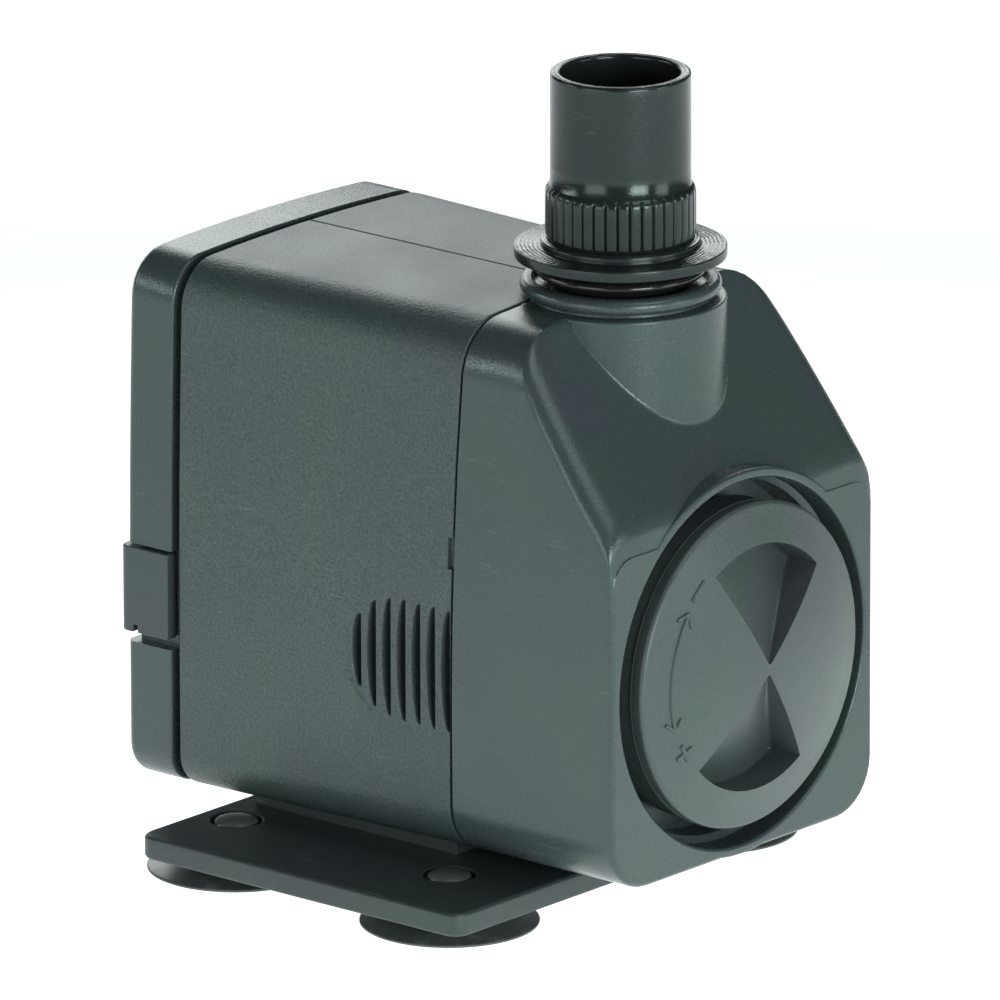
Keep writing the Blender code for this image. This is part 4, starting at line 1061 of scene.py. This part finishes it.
def build_stack():
    """The core: two pole pieces round the well, two legs through the coils, and a yoke."""
    outer, (leg_in, leg_out), slot = CORE_HALF, LEG_X, 1.5
    low, high, yoke_low, yoke_high = 18.5, 52.5, COIL_H[1] + 0.6, 76.5
    outline = [(slot, low), (outer, low), (outer, high), (leg_out, high), (leg_out, yoke_high),
               (-leg_out, yoke_high), (-leg_out, high), (-outer, high), (-outer, low), (-slot, low),
               (-slot, high), (-leg_in, high), (-leg_in, yoke_low), (leg_in, yoke_low), (leg_in, high),
               (slot, high)]
    mesh = solid(prism(outline, CORE_Y))
    mesh = cut(mesh, rod(WELL_R + WELL_WALL + GAP, CORE_Y[0] - 1, CORE_Y[1] + 1, AXIS, 'Y', FEWER))
    mesh = bevelled(mesh, 0.12)
    piece("core_stack", mesh, "motor_unit", ["stator_core"], "lamination_steel")


def build_coil(side, sign):
    """A spool round one leg of the core, and its winding, wire by wire."""
    x = sorted((sign * (LEG_X[0] - GAP), sign * (LEG_X[1] + GAP)))
    y = (CORE_Y[0] - GAP, CORE_Y[1] + GAP)

    def outline(grow, radius):
        return rounded_rectangle((x[0] - grow, x[1] + grow), (y[0] - grow, y[1] + grow), radius)

    wall, lip, flange = 0.7, 4.3, 0.9
    levels = [(COIL_H[0], lip), (COIL_H[0] + flange, lip), (COIL_H[0] + flange, wall),
              (COIL_H[1] - flange, wall), (COIL_H[1] - flange, lip), (COIL_H[1], lip)]
    mesh = solid(loft([[(a, b, h) for a, b in outline(grow, 0.6 + grow * 0.4)] for h, grow in levels]))
    mesh = cut(mesh, block((x[0], y[0], COIL_H[0] - 1), (x[1], y[1], COIL_H[1] + 1)))
    piece("spool_" + side, bevelled(mesh, 0.15), "motor_unit", ["coil_bobbin_" + side], "bobbin_white")

    start = wall + GAP
    end = start + 3.1
    low, high = COIL_H[0] + flange + GAP, COIL_H[1] - flange - GAP
    turns = 26
    pitch = (high - low) / turns
    rings = []
    for number in range(turns):
        for share, dip in ((0.0, 0.14), (0.2, 0.04), (0.5, 0.0), (0.8, 0.04)):
            rings.append([(a, b, low + pitch * (number + share)) for a, b in outline(end - dip, 3.2 - dip)])
    rings.append([(a, b, high) for a, b in outline(end - 0.14, 3.06)])
    mesh = solid(loft(rings))
    mesh = cut(mesh, prism(outline(start, 0.9), (low - 1, high + 1), 'Z'))
    piece("wire_" + side, mesh, "motor_unit", ["coil_winding_" + side], "winding_copper", sharp=60)


def build_potting():
    levels = ((28.1, 0.25), (28.25, 0.05), (28.4, 0.0), (30.6, 0.0), (30.75, 0.05), (30.9, 0.25))
    mesh = solid(body_loft([(y, WALL + GAP + edge) for y, edge in levels]))
    mesh = cut(mesh, rod(WELL_R + WELL_WALL + GAP, 27.0, 32.0, AXIS, 'Y', FEWER), fast=True)
    piece("potting", mesh, "motor_unit", ["potting_resin"], "resin_brown")


def build_shaft():
    """The shaft's pin and the two rubber bushes that hold it."""
    start, end = SHAFT_Y
    spun("pin", [(0, start), (SHAFT_R, start, 0.3), (SHAFT_R, end, 0.3), (0, end)], "motor_unit", "shaft",
         "ceramic_white", edge=0.0)
    seat = SHAFT_R + 0.2
    well = WELL_REAR_Y - GAP
    spun("rear_seat", [(0, well, 0.0), (0, end + GAP, 0.0), (seat, end + GAP, 0.0), (seat, 26.0), (4.5, 26.0),
                       (4.5, well)], "motor_unit", "rear_bush", "rubber_black")
    front = CHAMBER_FRONT_Y + 0.9
    spun("front_seat", [(0, front, 0.0), (2.6, front), (2.6, front + 2.8), (seat, front + 2.8),
                        (seat, front + 0.5, 0.0), (0, front + 0.5, 0.0)],
         "front_cover", "front_bush", "rubber_black")


def build_rotor():
    """Magnet, sleeve, thrust washers, and the impeller with its six straight blades."""
    start, end = MAGNET_Y
    spun("magnet", [(4.1, start), (MAGNET_R, start, 0.6), (MAGNET_R, end, 0.6), (4.1, end)], "rotor",
         "rotor_magnet", "ferrite_grey")
    spun("sleeve", [(BORE, -21.2), (3.4, -21.2), (3.4, start - 2.0), (8.0, start - 2.0), (8.0, start - GAP),
                    (3.8, start - GAP), (3.8, end + 0.2), (BORE, end + 0.2)], "rotor", "rotor_sleeve",
         "inner_plastic")
    for place, radius, low in (("rear", 3.4, end + 0.5), ("front", 3.0, -25.4)):
        spun("washer_" + place, [(BORE, low), (radius, low), (radius, low + 0.6), (BORE, low + 0.6)], "rotor",
             "thrust_washer_" + place, "ceramic_white", edge=0.12)
    hub = [(BORE, -24.5), (4.6, -24.5, 0.3), (4.6, -19.9, 0.5), (13.0, -19.9), (13.0, -18.7), (3.7, -18.7),
           (3.7, -21.6), (BORE, -21.6)]
    mesh = solid(turned(rounded(hub, 0.12), AXIS, 'Y', FEWER))
    half, root, tip = 0.6, 4.0, 12.6
    outline = rounded([(-half, root), (half, root), (half, tip, 0.5), (-half, tip, 0.5)])
    levels = ((-25.6, 0.6), (-25.4, 0.9), (-25.1, 1.0), (-19.5, 1.0))
    blades = []
    for number in range(6):
        blade = loft([[(x * thin, y, z) for x, z in outline] for y, thin in levels], triangles=False)
        turn = Matrix.Rotation(radians(60 * number), 4, 'Y')
        bmesh.ops.transform(blade, matrix=Matrix.Translation((AXIS_X, 0, AXIS_H)) @ turn, verts=blade.verts)
        blades.append(blade)
    mesh = join(mesh, merged(*blades), fast=True)
    piece("impeller_wheel", mesh, "rotor", ["impeller"], "inner_plastic")


build_volute()
build_shutter()
build_partition()
build_stack()
build_coil("left", -1)
build_coil("right", 1)
build_potting()
build_shaft()
build_rotor()
build_seal("chamber_ring", "motor_unit", "chamber_seal", AXIS, Y, 16)


# Camera, floor and light

LIGHT_COLOUR = (0.96, 1.0, 0.99)


def direction(azimuth, elevation):
    """Away from the pump; azimuth 0 is in front of the dial, and -90 on the camera's left."""
    a, e = radians(azimuth), radians(elevation)
    return Vector((sin(a) * cos(e), -cos(a) * cos(e), sin(e)))


def camera_axes(azimuth, elevation, roll):
    a, r = radians(azimuth), radians(roll)
    back = direction(azimuth, elevation)
    right = Vector((cos(a), sin(a), 0.0))
    up = back.cross(right)
    return cos(r) * right + sin(r) * up, -sin(r) * right + cos(r) * up, back


def set_camera():
    """The photograph's view, from the end of the pipe outwards."""
    right, up, back = camera_axes(azimuth=-49.45, elevation=16.51, roll=-0.14)
    distance, shift, drop = 2.67308, 0.0161, 0.05739
    target = Vector((PIPE[0], PIPE[1], PIPE_TOP)) * MM
    place = target + back * distance - right * shift - up * drop
    data = bpy.data.cameras.new("camera")
    data.lens = 720.33
    data.sensor_width = 36.0
    data.clip_end = 20.0
    camera = placed("camera", data)
    matrix = camera.matrix_world.copy()
    for column, vector in enumerate((right, up, back, place)):
        for row in range(3):
            matrix[row][column] = vector[row]
    camera.matrix_world = matrix
    bpy.context.scene.camera = camera


def softbox(name, azimuth, elevation, size, power):
    """An area light that looks at the pump; its size is in metres and its power in watts."""
    distance, aim = 1.3, Vector((0.0, 0.0, 0.05))
    away = direction(azimuth, elevation)
    data = bpy.data.lights.new(name, 'AREA')
    data.shape = 'RECTANGLE'
    data.size, data.size_y = size
    data.energy = power
    data.color = LIGHT_COLOUR
    light = placed(name, data)
    light.location = away * distance + aim
    light.rotation_euler = (-away).to_track_quat('-Z', 'Y').to_euler()


def build_floor():
    """Pale paper with a painted glow that lights the pump, brighter close to the pump and far behind it."""
    bm = bmesh.new()
    bmesh.ops.create_grid(bm, x_segments=8, y_segments=8, size=3.0)
    mesh = bpy.data.meshes.new("floor")
    bm.to_mesh(mesh)
    bm.free()
    floor = placed("floor", mesh)
    floor.location.z = -0.0002
    material, shader, at = start_material("floor_paper", 0.7)
    base = mixed(noise(at, 0.02, 2.0), (0.86, 0.87, 0.87), (0.90, 0.905, 0.905))
    feed(shader, "Base Color", base)
    shader.inputs["Emission Color"].default_value = (*LIGHT_COLOUR, 1.0)
    reach = vectors('LENGTH', at)["Value"]
    # Painted light: a pool of glow round the pump, and more glow far behind it.
    near = ramp(maths('DIVIDE', reach, 420.0, clamp=True), (0.22, 1.0), (0.75, 0.0))
    far = ramp(maths('DIVIDE', reach, 1000.0, clamp=True), (0.3, 0.0), (0.42, 1.0))
    glow = plus(times(near, 0.75), times(far, 0.5))
    feed(shader, "Emission Strength", plus(glow, 0.38))
    mesh.materials.append(material)


def set_world(strength):
    world = bpy.data.worlds.new("studio")
    world.use_nodes = True
    background = world.node_tree.nodes["Background"]
    background.inputs[0].default_value = (0.93, 0.98, 0.97, 1.0)
    background.inputs[1].default_value = strength
    bpy.context.scene.world = world


set_camera()
build_floor()
set_world(0.03)
softbox("front_top", 0, 60, (0.7, 0.7), 3.8)
softbox("back_wall", 130, 28, (0.9, 0.6), 5.8)
softbox("left_low", -90, 9, (0.8, 0.4), 3.4)
softbox("front_low", -20, 9, (0.6, 0.4), 9.5)
softbox("right_low", 20, 9, (0.5, 0.4), 2.5)
softbox("back_low", 150, 9, (0.8, 0.4), 1.5)
softbox("shoulder_light", -142, 16, (0.7, 0.16), 2.6)
bpy.context.scene.view_settings.view_transform = 'Standard'
